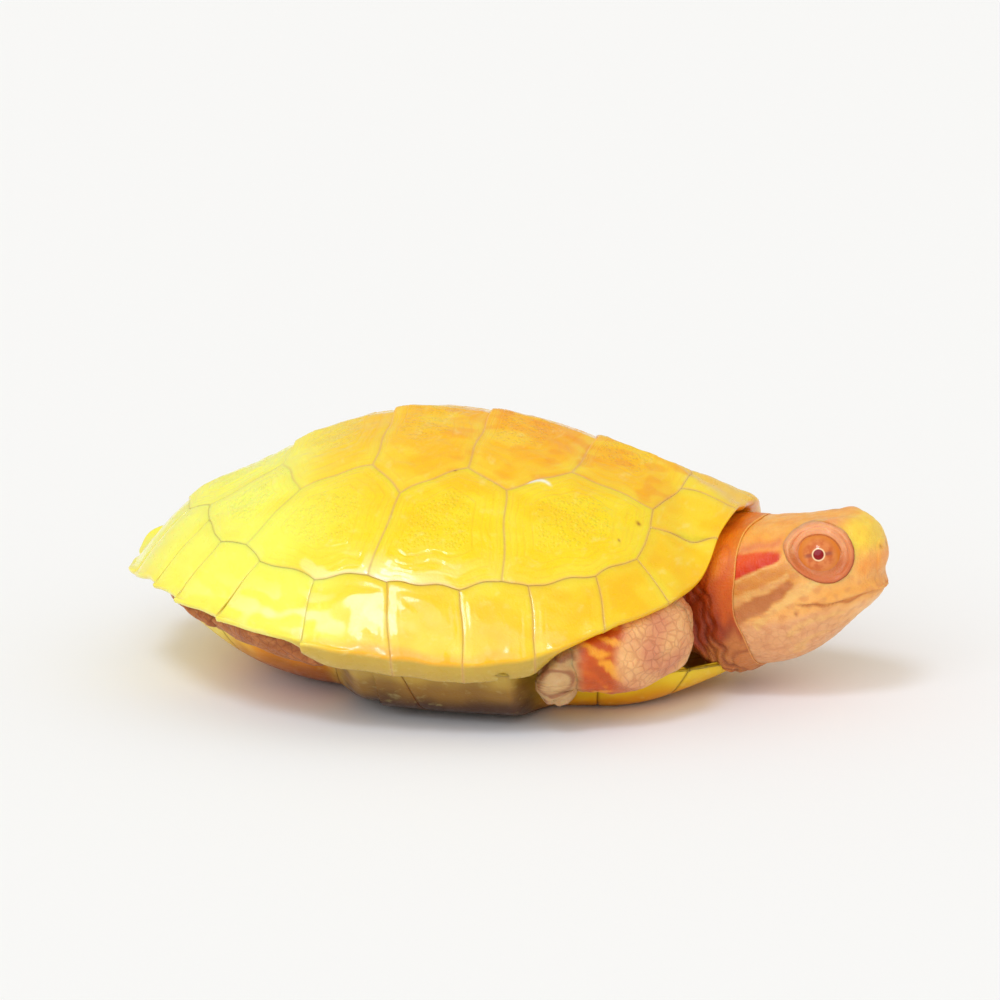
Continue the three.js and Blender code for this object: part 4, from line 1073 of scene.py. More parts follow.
@dataclass
class Skin:
    """All the flesh in one piece: head, neck, trunk, legs, feet and tail."""

    head: HeadForm
    form: ShellForm
    material: bpy.types.Material
    limb_paths: dict[str, tuple[tuple[float, ...], ...]] = field(
        default_factory=lambda: {
            "upper_arm": (
                (15, -9, 9.4, 3.2, 3.2), (20, -10.5, 9.2, 3.8, 3.8), (24.2, -12.6, 8.8, 3.6, 4.2)
            ),
            "forearm": (
                (24.4, -13.2, 8.6, 3.4, 4.2), (21.3, -16.6, 7.4, 3.2, 4.0),
                (17.8, -18.9, 7.0, 2.6, 3.0),
            ),
            "forefoot": (
                (16.4, -19.6, 7.2, 1.9, 2.0), (15.5, -20.3, 5.4, 2.0, 1.9),
                (15.5, -19.8, 4.2, 1.8, 1.6),
            ),
            "thigh": (
                (-15, -8, 8.8, 3.0, 3.0), (-12, -13, 8.4, 3.2, 3.2), (-8.4, -17.0, 7.3, 2.8, 2.4)
            ),
            "shin": (
                (-8.4, -18.0, 7.4, 2.6, 2.3), (-13.2, -17.4, 8.2, 2.5, 1.9),
                (-17.6, -14.6, 8.8, 2.2, 1.7),
            ),
            "hindfoot": (
                (-18.4, -13.8, 8.8, 2.6, 1.6), (-21.4, -11.2, 9.6, 2.9, 1.0),
                (-23.6, -8.4, 10.2, 2.0, 0.6),
            ),
        }
    )
    tail_path: tuple[tuple[float, ...], ...] = (
        (-17.5, 0, 8.4, 2.6, 2.2), (-22, 0.4, 9.6, 1.9, 1.6), (-25.4, 2.8, 10.1, 1.2, 1.0), (
            -26.0, 6.2, 10.2, 0.7, 0.6
        ),
    )  # fmt: skip

    neck_creases: tuple[float, ...] = (0.4, 0.26, 0.14, 0.04)

    def path(self, stations: Array, place: Array) -> Array:
        """Values of stations at places from 0 to 1, by a uniform Catmull-Rom curve."""
        count = len(stations) - 1
        i = np.clip(np.floor(place * count).astype(int), 0, count - 1)
        s = (place * count - i)[:, None]
        ends = np.concatenate(
            [[2 * stations[0] - stations[1]], stations, [2 * stations[-1] - stations[-2]]]
        )
        p0, p1, p2, p3 = (ends[i + k] for k in range(4))
        return 0.5 * (2 * p1 + (p2 - p0) * s + (2 * p0 - 5 * p1 + 4 * p2 - p3) * s**2 + (
            3 * p1 - p0 - 3 * p2 + p3
        ) * s**3)

    def tube(self, stations: Sequence[Sequence[float]], rows: int, around: int) -> tuple[
        Array, Array, Array
    ]:
        """A limb's grid: ovals along a smooth path, with rounded ends.

        At both ends the ovals shrink as a quarter circle while they run on along the heading.

        Args:
            stations: place, half width and half height of each station.
            rows: rows between the ends.
            around: columns.

        Returns:
            Points, length along the limb and the distance round it, rows × columns.
        """
        table = np.array(stations, float)
        cap = np.linspace(0, math.pi / 2, 9)[:-1]
        place = np.concatenate([np.zeros(8), np.linspace(0, 1, rows), np.ones(8)])
        value = self.path(table, place)
        ahead = self.path(table, np.clip(place + 0.01, 0, 1)) - self.path(
            table, np.clip(place - 0.01, 0, 1)
        )
        heading = unit(ahead[:, :3])
        shrink = np.concatenate([np.sin(cap + 0.02), np.ones(rows), np.sin(cap[::-1] + 0.02)])
        radius = np.minimum(value[:, 3], value[:, 4])
        reach = np.concatenate([-np.cos(cap), np.zeros(rows), np.cos(cap[::-1])]) * radius * 0.9
        centre = value[:, :3] + heading * reach[:, None]
        angle = np.linspace(0, 2 * math.pi, around, endpoint=False)
        points = oval(
            centre, heading, value[:, 3] * shrink, value[:, 4] * shrink, -value[:, 4] * shrink,
            angle, 2.0,
        )
        length = np.concatenate([[0], np.cumsum(np.linalg.norm(np.diff(centre, axis=0), axis=1))])
        return points, length[:, None] + 0 * points[..., 0], angle[None] * radius[:, None]

    def scaled(
        self, points: Array, u: Array, v: Array, size: float, depth: Array, seed: int
    ) -> tuple[Array, Array, Array]:
        """Raises a grid into scales along its normals, from a cell pattern, and into faint folds.

        Args:
            points: rows × columns × 3.
            u: length along.
            v: distance round.
            size: size of a scale.
            depth: depth of the creases.
            seed: seed of the pattern.

        Returns:
            The new points, the crease mask and each scale's number.
        """
        along = np.gradient(points, axis=0)
        round_ = np.roll(points, -1, axis=1) - np.roll(points, 1, axis=1)
        normal = unit(np.cross(round_, along))
        outward = points - points.mean(axis=1, keepdims=True)
        normal *= np.sign((normal * outward).sum(-1, keepdims=True) + 1e-9)
        first, gap, number = cells(u, v, size, seed)
        crease = 1 - ramp(gap, 0.02, 0.26)
        folds = waves(np.stack([u * 0.35, v * 1.6], -1), 1.9, seed + 7)
        rise = depth * (0.5 * (1 - first**2) - crease) + 0.07 * folds
        return points + normal * rise[..., None], crease, number

    def neck_and_head(self, surface: Surface) -> None:
        """Adds neck, sleeve, its rolled edge and head as one unbroken grid.

        The rows run forward over the neck, curl round the sleeve's edge in a half circle, turn back
        underneath and then run forward over the head to the tip of the snout.
        """
        head = self.head
        around = 208
        angle = np.linspace(0, 2 * math.pi, around, endpoint=False) + math.pi / 2
        keys = (
            (15, 0, 10.4, 7.5, 5.4, -5.2), (20, 0, 10.2, 8.6, 6.0, -5.6),
            (25, -0.2, 10.0, 9.2, 6.6, -5.6),
        )
        table = np.array(keys, float)
        heading = np.broadcast_to([1, -0.02, 0.05], (3, 3))
        rings = oval(table[:, :3], heading, table[:, 3], table[:, 4], table[:, 5], angle, 2.3)
        flat = lambda value: np.full(around, value)
        root = [
            head.place(head.section(flat(s), angle, flat(g))) for s, g in ((-1.4, 0.9), (1.0, 0.8))
        ]
        knots = np.concatenate([rings, np.stack(root)]).reshape(5, -1)
        neck = self.path(knots, np.linspace(0, 1, 44)).reshape(44, around, 3)
        middle = neck.mean(axis=1, keepdims=True)
        folds = np.abs(waves(neck * np.array([1.5, 0.45, 0.4]), 2.4, 33)) * ramp(
            np.arange(44)[:, None], 20, 30
        )
        fine = np.abs(waves(neck * np.array([1.3, 0.5, 0.5]), 1.1, 34)) * ramp(
            np.arange(44)[:, None], 20, 30
        )
        depth = 0.24 * np.minimum(folds, 0.8) + 0.07 * np.minimum(fine, 0.8) - 0.16
        rows = np.linspace(-1, 0, 44)[:, None] + 0.03 * waves(neck, 3.0, 35)
        depth = depth - 0.22 * sum(bell(rows + place, 0.025) for place in self.neck_creases)
        neck = neck + unit(neck - middle) * depth[..., None]
        from_top = np.degrees(np.arccos(np.clip(np.sin(angle), -1, 1)))
        fold = head.fold_at(from_top)
        roll = (0.11 - 0.05 * ramp(from_top, 105, 170))[None]
        share = np.linspace(0, 1, 16)[1:, None]
        along = 1.0 + (fold[None] - roll - 1.0) * share
        sleeve = head.section(
            along, np.broadcast_to(angle, along.shape), 0.8 - (0.7 - roll) * share + 0 * along
        )
        curl = np.linspace(math.pi / 2, -math.pi / 2, 9)[1:, None]
        edge = head.section(
            fold[None] - roll + roll * np.cos(curl), np.broadcast_to(
                angle, (8, around)
            ), 0.1 + roll * np.sin(curl)
        )
        inside = head.section(
            fold[None] - np.array([0.4, 0.75])[:, None], np.broadcast_to(
                angle, (2, around)
            ), np.array([[0.02], [0.0]]) + 0 * fold[None]
        )
        stations = np.concatenate([
            np.linspace(0, 0.42, 36)[1:], np.linspace(0.42, 0.93, 80)[1:],
            np.linspace(0.93, 1, 24)[1:],
        ])
        begin = fold[None] - 0.6
        face_along = begin + (head.along[-1] - begin) * stations[:, None]
        face_angle = np.broadcast_to(angle, face_along.shape)
        face = head.section(face_along, face_angle, 0 * face_along)
        tip = np.linspace(0, math.pi / 2, 9)[1:-1, None, None]
        centre = face[-1].mean(axis=0)
        nose = centre + (face[-1] - centre) * np.cos(tip) + np.array([0.35, 0, 0]) * np.sin(tip)
        local = np.concatenate(
            [sleeve, edge, inside, self.shape_face(np.concatenate([face, nose]))]
        )
        grid = np.concatenate([neck, head.place(local)])
        flags = np.concatenate([
            np.linspace(-1, 0, len(neck)), np.linspace(0.01, 0.15, len(sleeve)), np.full(8, 0.5),
            np.ones(len(inside) + len(face) + len(nose)),
        ])
        kind = flags[:, None] + 0 * grid[..., 0]
        paint = self.paint_neck(grid, kind)
        local_all = (grid - np.array(head.base)) @ np.stack([head.forward, head.left, head.up]).T
        paint = mix(paint, self.paint_face(local_all), ramp(kind, 0.6, 0.9))
        below = ramp(-local_all[..., 2], 4.0, 5.6) * (1 - ramp(local_all[..., 0], 11, 14))
        surface.grid(grid, {"paint": paint, "scaly": 0.45 * below}, last_cap=True, first_cap=True)

    def shape_face(self, face: Array) -> Array:
        """Models the head's grid, in its own frame: eye sockets, lips, nostrils and throat.

        Args:
            face: points of the plain head.

        Returns:
            The modelled points.
        """
        head = self.head
        centre = np.stack(
            [face[..., 0], 0 * face[..., 0], 0 * face[..., 0] + 0.2 - 0.12 * (face[..., 0] < 0)], -1
        )
        outward = unit(face - centre)
        x, z = face[..., 0], face[..., 2]
        rise = np.zeros_like(x)
        mouth = head.mouth_at(x)
        below = z - mouth
        reach = ramp(x, 8.4, 9.6)
        rise -= 0.24 * bell(below, 0.14) * reach
        rise += 0.12 * bell(below - 0.42, 0.3) * reach - 0.1 * bell(below + 0.55, 0.5) * reach
        rise -= 0.3 * ramp(-below, 0.05, 0.4) * ramp(x, 13.0, 15.4)
        for side in Side:
            nostril = np.linalg.norm(face - np.array([16.75, 0.75 * side.value, 0.7]), axis=-1)
            rise -= 0.35 * bell(nostril, 0.22)
        brow = bell(np.abs(face[..., 1]) - 3.0, 0.9) * bell(x - 12.9, 2.0) * ramp(z, 3.2, 4.2)
        rise += 0.4 * brow - 0.5 * bell(face[..., 1], 1.5) * bell(x - 13.2, 2.2) * ramp(z, 2.5, 3.5)
        rise += 0.02 * waves(face * np.array([1.0, 0.6, 1.6]), 1.1, 44) * (
            1 - reach * bell(below, 0.6)
        )
        moved = face + outward * rise[..., None]
        for side in Side:
            middle, forward, up, out = head.eye_axes(side)
            local = face - middle
            turn = np.degrees(np.arctan2(local @ up, local @ forward)) % 360
            spread = np.hypot(local @ forward, local @ up) / head.ring_at(turn)
            near = (local @ out > -3.2) & (face[..., 1] * side.value > 0)
            sink = 1.5 * (1 - ramp(spread, 0.72, 0.98)) * near
            moved = moved - out * sink[..., None]
        back = 0.75 * bell(z + 2.2, 1.3) * ramp(x, 14.8, 16.6) - 0.4 * bell(z + 4.7, 1.0) * ramp(
            x, 12.5, 14.5
        )
        return moved - back[..., None] * np.array([1.0, 0, 0])

    def eyelids(self, surface: Surface, side: Side) -> None:
        """Adds the ring of lids round an eye.

        Closed curves widen from the almond-shaped opening to the ring's outer edge. Their height
        starts on the eyeball, turns over the lid's margin, swells with fine folds, and ends at the
        head: in a crease below and behind, and smoothly above and in front.

        Args:
            surface: the skin.
            side: which eye.
        """
        head = self.head
        middle, forward, up, out = head.eye_axes(side)
        around = 112
        phi = np.linspace(0, 2 * math.pi, around, endpoint=False)
        face_along, face_angle = np.meshgrid(
            np.linspace(7, 16.8, 150), np.linspace(-0.6, math.pi / 2 + 0.3, 120), indexing="ij"
        )
        skull = head.section(face_along, face_angle, 0 * face_along) * np.array([1, side.value, 1])
        skull = (skull - middle).reshape(-1, 3)
        skull_plane = np.stack([skull @ forward, skull @ up], -1)
        skull_height = skull @ out
        q = np.concatenate(
            [[-0.16, -0.08], np.linspace(0, 0.14, 8), np.linspace(0.14, 1.0, 34)[1:]]
        )
        circle = np.stack([np.cos(phi), np.sin(phi)], -1)
        inner = circle * head.opening_at(np.degrees(phi))[:, None]
        outer = circle * head.ring_at(np.degrees(phi))[:, None]
        plane = inner[None] + (outer - inner)[None] * q[:, None, None]
        rows, columns = plane.shape[:2]
        flat = plane.reshape(-1, 2)
        away = ((flat[:, None] - skull_plane[None, :: 3]) ** 2).sum(-1)
        near = np.argpartition(away, 6, axis=1)[:, :6]
        weight = 1 / (np.take_along_axis(away, near, 1) + 1e-3)
        skin_height = ((skull_height[::3][near] * weight).sum(1) / weight.sum(1)).reshape(
            rows, columns
        )
        for _ in range(4):
            skin_height = 0.5 * skin_height + 0.25 * (
                np.roll(skin_height, 1, 1) + np.roll(skin_height, -1, 1)
            )
        radial = np.hypot(plane[..., 0], plane[..., 1])
        ball = np.sqrt(
            np.maximum(head.eye_radius**2 - radial**2, 0.05)
        ) - head.eye_radius + head.eye_height
        qq = q[:, None] + 0 * radial
        upper = ramp(np.sin(phi + 0.25), -0.35, 0.45)[None]
        crease = ramp(-np.sin(phi - 0.35), -0.35, 0.2)[None]
        margin = (0.03 + 0.19 * upper) * ramp(qq, -0.02, 0.12)
        swell = (0.1 + 0.22 * upper) * np.sin(math.pi * np.clip((qq - 0.05) / 0.95, 0, 1)) ** 0.8
        folds = 0.01 * (0.3 + 0.7 * upper) * np.sin(
            2 * math.pi * (4.2 * qq + 0.12 * np.sin(3 * phi)[None])
        ) * ramp(qq, 0.12, 0.25)
        lid = ball + margin - (0.08 + 0.17 * upper) * (1 - ramp(qq, -0.16, 0.0))
        height = lid + (skin_height + 0.05 - lid) * ramp(qq, 0.05, 0.75) + swell + folds * (
            1 - ramp(qq, 0.8, 0.95)
        )
        corner = bell((phi - math.radians(157))[None], 0.3) * bell(qq - 0.55, 0.25)
        height = height + 0.12 * corner - (0.02 + 0.3 * crease) * ramp(qq, 0.88, 1.0)
        local = middle + plane[..., :1] * forward + plane[..., 1:] * up + height[..., None] * out
        points = head.place(local)
        surface.grid(points, {"paint": self.paint_lids(qq, phi), "scaly": 0 * qq})

    def paint_neck(self, points: Array, kind: Array) -> Array:
        """Colour of the neck: orange above, red-brown flanks, tan below, with a pale edge, and
        painted shade in its folds and creases.
        """
        x, z = points[..., 0], points[..., 2]
        tone = np.clip(waves(points * np.array([2.0, 1.0, 0.5]), 3.0, 31), -1.5, 1.5)
        level = z - 0.25 * (x - 25) + tone * 0.7
        colour = mix(srgb(168, 66, 20), srgb(208, 88, 10), ramp(level, 8.5, 12))
        colour = mix(colour, srgb(255, 164, 30), ramp(level, 11.0, 13.5))
        colour = mix(colour, srgb(218, 142, 74), 0.85 * (1 - ramp(level, 3.2, 6.4)))
        # Painted shade: darker in the fold troughs and the ring creases, where the skin sinks.
        folds = np.abs(waves(points * np.array([1.5, 0.45, 0.4]), 2.4, 33))
        colour = mix(colour, srgb(140, 46, 12), 0.5 * (1 - ramp(folds, 0.0, 0.35)))
        crease = sum(
            bell(kind + 0.03 * waves(points, 3.0, 35) + place, 0.022) for place in self.neck_creases
        )
        colour = mix(colour, srgb(132, 40, 12), 0.6 * crease)
        strip = ramp(kind, 0.02, 0.09) * (1 - ramp(kind, 0.2, 0.4)) * ramp(level, 5, 8)
        colour = mix(colour, srgb(226, 104, 6), 0.7 * strip)
        return mix(colour, srgb(252, 176, 96), 0.6 * bell(kind - 0.5, 0.1))

    def paint_face(self, local: Array) -> Array:
        """Colour of the head by place in its own frame, the same on both sides.

        Args:
            local: points in the head's frame.

        Returns:
            Linear colours.
        """
        x, y, z = local[..., 0], np.abs(local[..., 1]), local[..., 2]
        bend = 0.1 * waves(local, 1.6, 42)
        x, z = x + bend, z + 0.08 * waves(local, 1.9, 43)
        tone = np.clip(waves(local, 2.6, 41), -1, 1)
        colour = mix(
            srgb(250, 184, 100), srgb(252, 174, 62), ramp(z, 0.5, 3.6) * (0.75 + 0.25 * tone)
        )
        lilac = bell(z - 3.35, 0.5) * ramp(x, 3.5, 4.5) * (1 - ramp(x, 8.2, 9.2))
        colour = mix(colour, srgb(226, 126, 84), 0.75 * lilac)
        colour = mix(colour, srgb(238, 154, 84), 0.35 * np.clip(tone, 0, 1) * ramp(z, 3.4, 4.4))
        tan = ramp(1.6 - z, -0.5, 0.8) * (1 - ramp(-z, 1.6, 2.6)) * (1 - ramp(x, 8.6, 10.6))
        colour = mix(colour, srgb(216, 138, 52), 0.85 * tan)
        colour = mix(
            colour, srgb(190, 110, 60),
            0.8 * stripe(x, z, ((3.0, -3.0, 0.9), (6.0, -2.0, 0.8), (8.8, -0.7, 0.5))),
        )
        throat = ramp(-z, 3.3, 4.6) * (1 - ramp(x, 10.5, 13.5))
        colour = mix(colour, srgb(238, 178, 126), 0.85 * throat)
        colour = mix(colour, srgb(255, 200, 140), 0.7 * ramp(-z, 3.6, 4.4) * ramp(x, 11, 14))
        cream = srgb(246, 196, 116)
        for line, depth in (
            (((3.2, -1.4, 0.6), (6.0, -0.85, 0.42), (8.8, 0.25, 0.3)), 0.6),
            ((
                (4.6, -4.3, 0.35), (6.5, -3.1, 0.45), (8.0, -2.35, 0.5), (9.5, -1.5, 0.55),
                (11.2, -0.95, 0.5),
            ), 0.85),
            (((7.3, -5.8, 0.3), (9.2, -4.85, 0.35), (11.0, -4.6, 0.3), (12.4, -4.7, 0.2)), 0.6),
            (((6.8, -7.8, 0.3), (8.9, -6.6, 0.35), (10.6, -6.3, 0.25)), 0.55),
        ):
            colour = mix(colour, cream, depth * stripe(x, z, line))
        colour = mix(colour, srgb(248, 172, 70), 0.6 * bell(z + 2.5, 0.7) * ramp(x, 10, 12.5))
        veins = waves(local * np.array([0.5, 1.4, 1.4]), 1.0, 45, 14)
        colour = mix(
            colour, srgb(212, 132, 84), 0.35 * ramp(veins, 0.2, 1.4) * (1 - ramp(z, 1.0, 3.0))
        )
        colour = mix(
            colour, srgb(236, 148, 104),
            0.6 * bell(y - 3.2, 1.2) * bell(x - 13.0, 2.2) * ramp(z, 3.0, 4.0),
        )
        snout = ramp(x, 13.4, 15.6) * ramp(z, -0.2, 1.8)
        colour = mix(colour, srgb(255, 216, 70), 0.85 * snout)
        colour = mix(colour, srgb(252, 164, 68), 0.75 * bell(z + 0.6, 1.0) * ramp(x, 14.6, 15.6))
        share = np.clip((x - 3.6) / 4.9, 0, 1)
        upper, lower = 3.05 - 0.4 * share, 0.75 + 1.35 * share**1.3
        wedge = ramp(z, lower - 0.1, lower + 0.12) * (1 - ramp(z, upper - 0.25, upper + 0.2)) * (
            1 - ramp(x, 8.2, 8.8)
        ) * (y > 2)
        strong = mix(srgb(232, 84, 26), srgb(216, 50, 4), 1 - ramp(z - lower, 0.2, 1.4))
        colour = mix(
            colour, cream, 0.6 * bell(z - lower + 0.22, 0.12) * (1 - ramp(x, 8.2, 8.8)) * (y > 2)
        )
        colour = mix(colour, strong, 0.97 * wedge)
        lip = bell(z - self.head.mouth_at(x), 0.15) * ramp(x, 8.6, 9.8) * (
            1 - 0.5 * ramp(x, 14, 15.5)
        )
        colour = mix(colour, srgb(196, 106, 48), 0.75 * lip)
        dot = np.hypot(x - 8.8, z + 3.7)
        colour = mix(colour, srgb(176, 100, 60), 0.7 * bell(dot, 0.18))
        # Painted shade in the nostril pits.
        nostril = np.linalg.norm(
            np.stack([local[..., 0] - 16.75, y - 0.75, local[..., 2] - 0.7], -1), axis=-1
        )
        return mix(colour, srgb(190, 120, 40), 0.85 * bell(nostril, 0.24))

    def paint_lids(self, q: Array, phi: Array) -> Array:
        """Colour of the lids: lilac-pink above, peach below, amber margin, and painted shade
        darkening the lower lid towards its crease.
        """
        upper = ramp(np.sin(phi + 0.25), -0.3, 0.5)[None]
        rings = 0.5 + 0.5 * np.sin(2 * math.pi * (4.2 * q + 0.12 * np.sin(3 * phi)[None]))
        colour = mix(srgb(216, 126, 72), srgb(248, 174, 114), upper * bell(q - 0.5, 0.6))
        colour = mix(colour, srgb(232, 156, 124), 0.4 * rings * upper)
        colour = mix(colour, srgb(206, 112, 30), 0.8 * bell(q - 0.04, 0.07) * upper)
        corner = bell((phi - math.radians(157))[None], 0.28) * bell(q - 0.55, 0.25)
        colour = mix(colour, srgb(246, 184, 124), 0.6 * corner)
        # Painted shade: the lower and hind lid darkens towards the crease at its outer edge.
        crease = ramp(-np.sin(phi - 0.35), -0.35, 0.25)[None]
        colour = mix(colour, srgb(210, 108, 58), 0.5 * crease * ramp(q, 0.4, 0.85))
        return mix(colour, srgb(164, 54, 22), 0.8 * ramp(q, 0.8, 0.95) * crease)

    def paint_limb(self, points: Array, crease: Array, number: Array) -> Array:
        """Colour of a limb: pale scales at the elbow, streaks on the forearm, red-brown behind."""
        x = points[..., 0]
        tone = waves(points, 4.0, 61)
        scale = mix(srgb(224, 150, 108), srgb(246, 190, 126), np.clip(0.5 + 0.4 * tone, 0, 1))
        streaks = waves(points * np.array([0.4, 0.9, 1.2]), 1.3, 62)
        smooth = mix(srgb(208, 90, 20), srgb(244, 164, 40), ramp(streaks, 0.1, 1.0))
        smooth = mix(smooth, srgb(196, 84, 22), 0.75 * ramp(-streaks, 0.3, 1.1))
        away = np.linalg.norm(points - np.array([15.6, -21.6, 5.6]), axis=-1)
        wrinkle = np.sin(5.2 * away + 1.2 * waves(points, 2.0, 63))
        hand = mix(srgb(202, 162, 108), srgb(160, 108, 70), ramp(wrinkle, 0.0, 1.0))
        smooth = mix(hand, smooth, ramp(x, 17.0, 18.6))
        colour = mix(smooth, scale, ramp(x + 0.5 * tone, 20.5, 22.5))
        hind = mix(srgb(180, 106, 50), srgb(210, 138, 76), np.clip(number, 0, 1) * 0.8)
        hind = mix(hind, srgb(150, 80, 36), 0.5 * crease)
        return mix(hind, colour, ramp(x, 2, 8))

    def limbs(self, surface: Surface) -> None:
        """Adds the legs, feet, tail and trunk."""
        for side in Side:
            mirror = np.array([1, -side.value, 1])
            for seed, (name, stations) in enumerate(self.limb_paths.items()):
                points, u, v = self.tube(stations, 40, 54)
                x = points[..., 0]
                scaly = np.maximum(ramp(x, 20.5, 22.5), ramp(-x, 2, 6))
                away = np.linalg.norm(points - np.array([15.6, -21.6, 5.6]), axis=-1)
                depth = 0.03 + 0 * x
                points, crease, number = self.scaled(points, u, v, 1.1, depth, 70 + seed)
                wrinkle = 0.07 * np.sin(5.2 * away + 1.2 * waves(points, 2.0, 63)) * (
                    name == "forefoot"
                )
                points = points + unit(points - points.mean(axis=1, keepdims=True)) * wrinkle[
                    ..., None
                ]
                values = {"paint": self.paint_limb(points, crease, number), "scaly": scaly}
                surface.grid(points * mirror, values, first_cap=True, last_cap=True)
        points, u, v = self.tube(self.tail_path, 60, 36)
        points, crease, number = self.scaled(points, u, v, 0.6, 0.05, 90)
        surface.grid(
            points, {"paint": self.paint_limb(points, crease, number), "scaly": 1 + 0 * u},
            first_cap=True, last_cap=True,
        )
        sections = ((-20.5, 5, 4.2, -2.6, 11.4), (-17, 9.5, 6.6, -5.6, 11.4), (
            -9, 15.5, 9.9, -9.6, 11.8
        ),
                    (0, 17.6, 11.8, -10.2, 12), (7, 17, 11.6, -10.2, 12),
                    (11.6, 14.5, 10.4, -10, 12))
        table = np.array(sections, float)
        rows = self.path(table, np.linspace(0, 1, 30))
        centre = np.stack([rows[:, 0], 0 * rows[:, 0], rows[:, 4]], -1)
        heading = np.broadcast_to([1.0, 0, 0], centre.shape)
        angle = np.linspace(0, 2 * math.pi, 64, endpoint=False)
        trunk = oval(centre, heading, rows[:, 1], rows[:, 2], rows[:, 3], angle, 2.0)
        colour = np.broadcast_to(srgb(214, 110, 62), trunk.shape)
        surface.grid(
            trunk, {"paint": colour, "scaly": 0 * trunk[..., 0]}, first_cap=True, last_cap=True
        )

    def build(self) -> None:
        """Makes the one piece of skin in place of all the flesh."""
        surface = Surface("skin_body")
        self.neck_and_head(surface)
        for side in Side:
            self.eyelids(surface, side)
        self.limbs(surface)
        flesh = ["head", "lower_jaw", "neck", "tail", "trunk"]
        flesh += [f"{part}_{side.name.lower()}" for part in ("foreleg", "hindleg") for side in Side]
        surface.build(self.material, "skin", flesh)


# ------------------------------------------------------------------ eyes and claws


@dataclass
class Eyes:
    """The eyeballs, each a thick lens with the iris and the red pupil on its face."""

    head: HeadForm
    material: bpy.types.Material

    def build(self) -> None:
        """Makes both eyeballs: polar rows from pole to past the lids, closed behind by a cone."""
        head = self.head
        for side in Side:
            middle, forward, up, out = head.eye_axes(side)
            polar = np.concatenate([np.linspace(0.004, 1.15, 70), [1.2]])
            turn = np.linspace(0, 2 * math.pi, 96, endpoint=False)
            radius = head.eye_radius * np.concatenate([np.sin(polar[:-1]), [1.6 / head.eye_radius]])
            height = head.eye_radius * np.concatenate([np.cos(polar[:-1]) - 1, [-0.9]])
            height = height + head.eye_height + 0.12 * bell(radius, 1.0)
            a = radius[:, None] * np.cos(turn)[None]
            b = radius[:, None] * np.sin(turn)[None]
            local = middle + a[..., None] * forward + b[..., None] * up + height[
                :, None, None
            ] * out
            surface = Surface(f"eye_{side.name.lower()}_ball")
            values = {"radial": np.hypot(a, b), "level": b}
            surface.grid(head.place(local), values, first_cap=True, last_cap=True)
            surface.build(self.material, "eye", [f"eye_{side.name.lower()}"])


@dataclass
class Claws:
    """Curved pointed claws, one piece for each foot."""

    material: bpy.types.Material
    length: float = 2.2
    radius: float = 0.36
    rows: tuple[tuple[str, int, tuple[float, ...], tuple[float, ...], tuple[float, ...]], ...] = (
        ("fore", 5, (13.9, -19.5, 3.9), (16.9, -18.7, 4.0), (-0.1, 1, -0.1)),
        ("hind", 4, (-24.6, -9.4, 10.1), (-23.2, -6.9, 10.3), (-0.45, 0.85, 0.1)),
    )

    def build(self) -> None:
        """Makes the claws: rings that taper to a point along a path that bends down."""
        angle = np.linspace(0, 2 * math.pi, 14, endpoint=False)
        share = np.concatenate([np.linspace(0, 0.95, 14), [0.99]])
        size = self.radius * np.sqrt(1 - share) * (1 - 0.3 * share)
        drop = np.array([0, 0, -1.0]) * 0.3 * (share**2)[:, None]
        for part, count, first, last, heading in self.rows:
            direction = unit(np.array(heading, float))
            for side in Side:
                surface = Surface(f"claws_{part}_{side.name.lower()}")
                for place in np.linspace(0, 1, count):
                    root = np.array(first) + (np.array(last) - np.array(first)) * place
                    centre = root + direction * self.length * share[:, None] + drop
                    along = np.broadcast_to(direction, centre.shape)
                    points = oval(centre, along, size, size, -size, angle, 2.0)
                    surface.grid(
                        points * np.array([1, -side.value, 1]), first_cap=True, last_cap=True
                    )
                surface.build(self.material, "skin")


# ------------------------------------------------------------------ finishes


@dataclass(frozen=True)
class HornFinish:
    """Glossy translucent horn."""

    roughness: float = 0.3
    scatter: float = 0.35
    depth: float = 0.0012
    coat: float = 0.6
    specular: float = 0.2


class Nodes:
    """A short way to write a material's or a group's nodes."""

    def __init__(self, tree: bpy.types.NodeTree) -> None:
        """Keeps the tree."""
        self.tree = tree

    def add(self, kind: str, inputs: dict | None = None, **settings: object) -> bpy.types.Node:
        """Adds a node, sets its options and feeds its inputs with values or sockets."""
        node = self.tree.nodes.new(kind)
        for key, value in settings.items():
            setattr(node, key, value)
        for key, value in (inputs or {}).items():
            if isinstance(value, bpy.types.NodeSocket):
                self.tree.links.new(value, node.inputs[key])
            else:
                node.inputs[key].default_value = value
        return node

    def math(self, operation: str, *values: object) -> bpy.types.NodeSocket:
        """Adds a math node and returns its result."""
        node = self.add("ShaderNodeMath", dict(enumerate(values)), operation=operation)
        return node.outputs[0]

    def blend(
        self, factor: object, first: object, second: object, kind: str = "MIX"
    ) -> bpy.types.NodeSocket:
        """Adds a colour mix and returns its result."""
        node = self.add(
            "ShaderNodeMix", {0: factor, 6: first, 7: second}, data_type="RGBA", blend_type=kind
        )
        return node.outputs[2]

    def span(
        self, value: object, low: float, high: float, to_low: float = 0.0, to_high: float = 1.0
    ) -> bpy.types.NodeSocket:
        """Adds a smooth map range and returns its result."""
        inputs = {0: value, 1: low, 2: high, 3: to_low, 4: to_high}
        return self.add("ShaderNodeMapRange", inputs, interpolation_type="SMOOTHSTEP").outputs[0]

    def value_of(self, name: str) -> bpy.types.NodeSocket:
        """Reads a named value of the mesh as a number."""
        return self.add("ShaderNodeAttribute", attribute_name=name).outputs["Fac"]

    def colour_of(self, name: str) -> bpy.types.NodeSocket:
        """Reads a named value of the mesh as a colour."""
        return self.add("ShaderNodeAttribute", attribute_name=name).outputs["Color"]


def rgba(colour: Sequence[float]) -> tuple[float, float, float, float]:
    """A linear colour with full alpha."""
    return (*[float(c) for c in colour[:3]], 1.0)


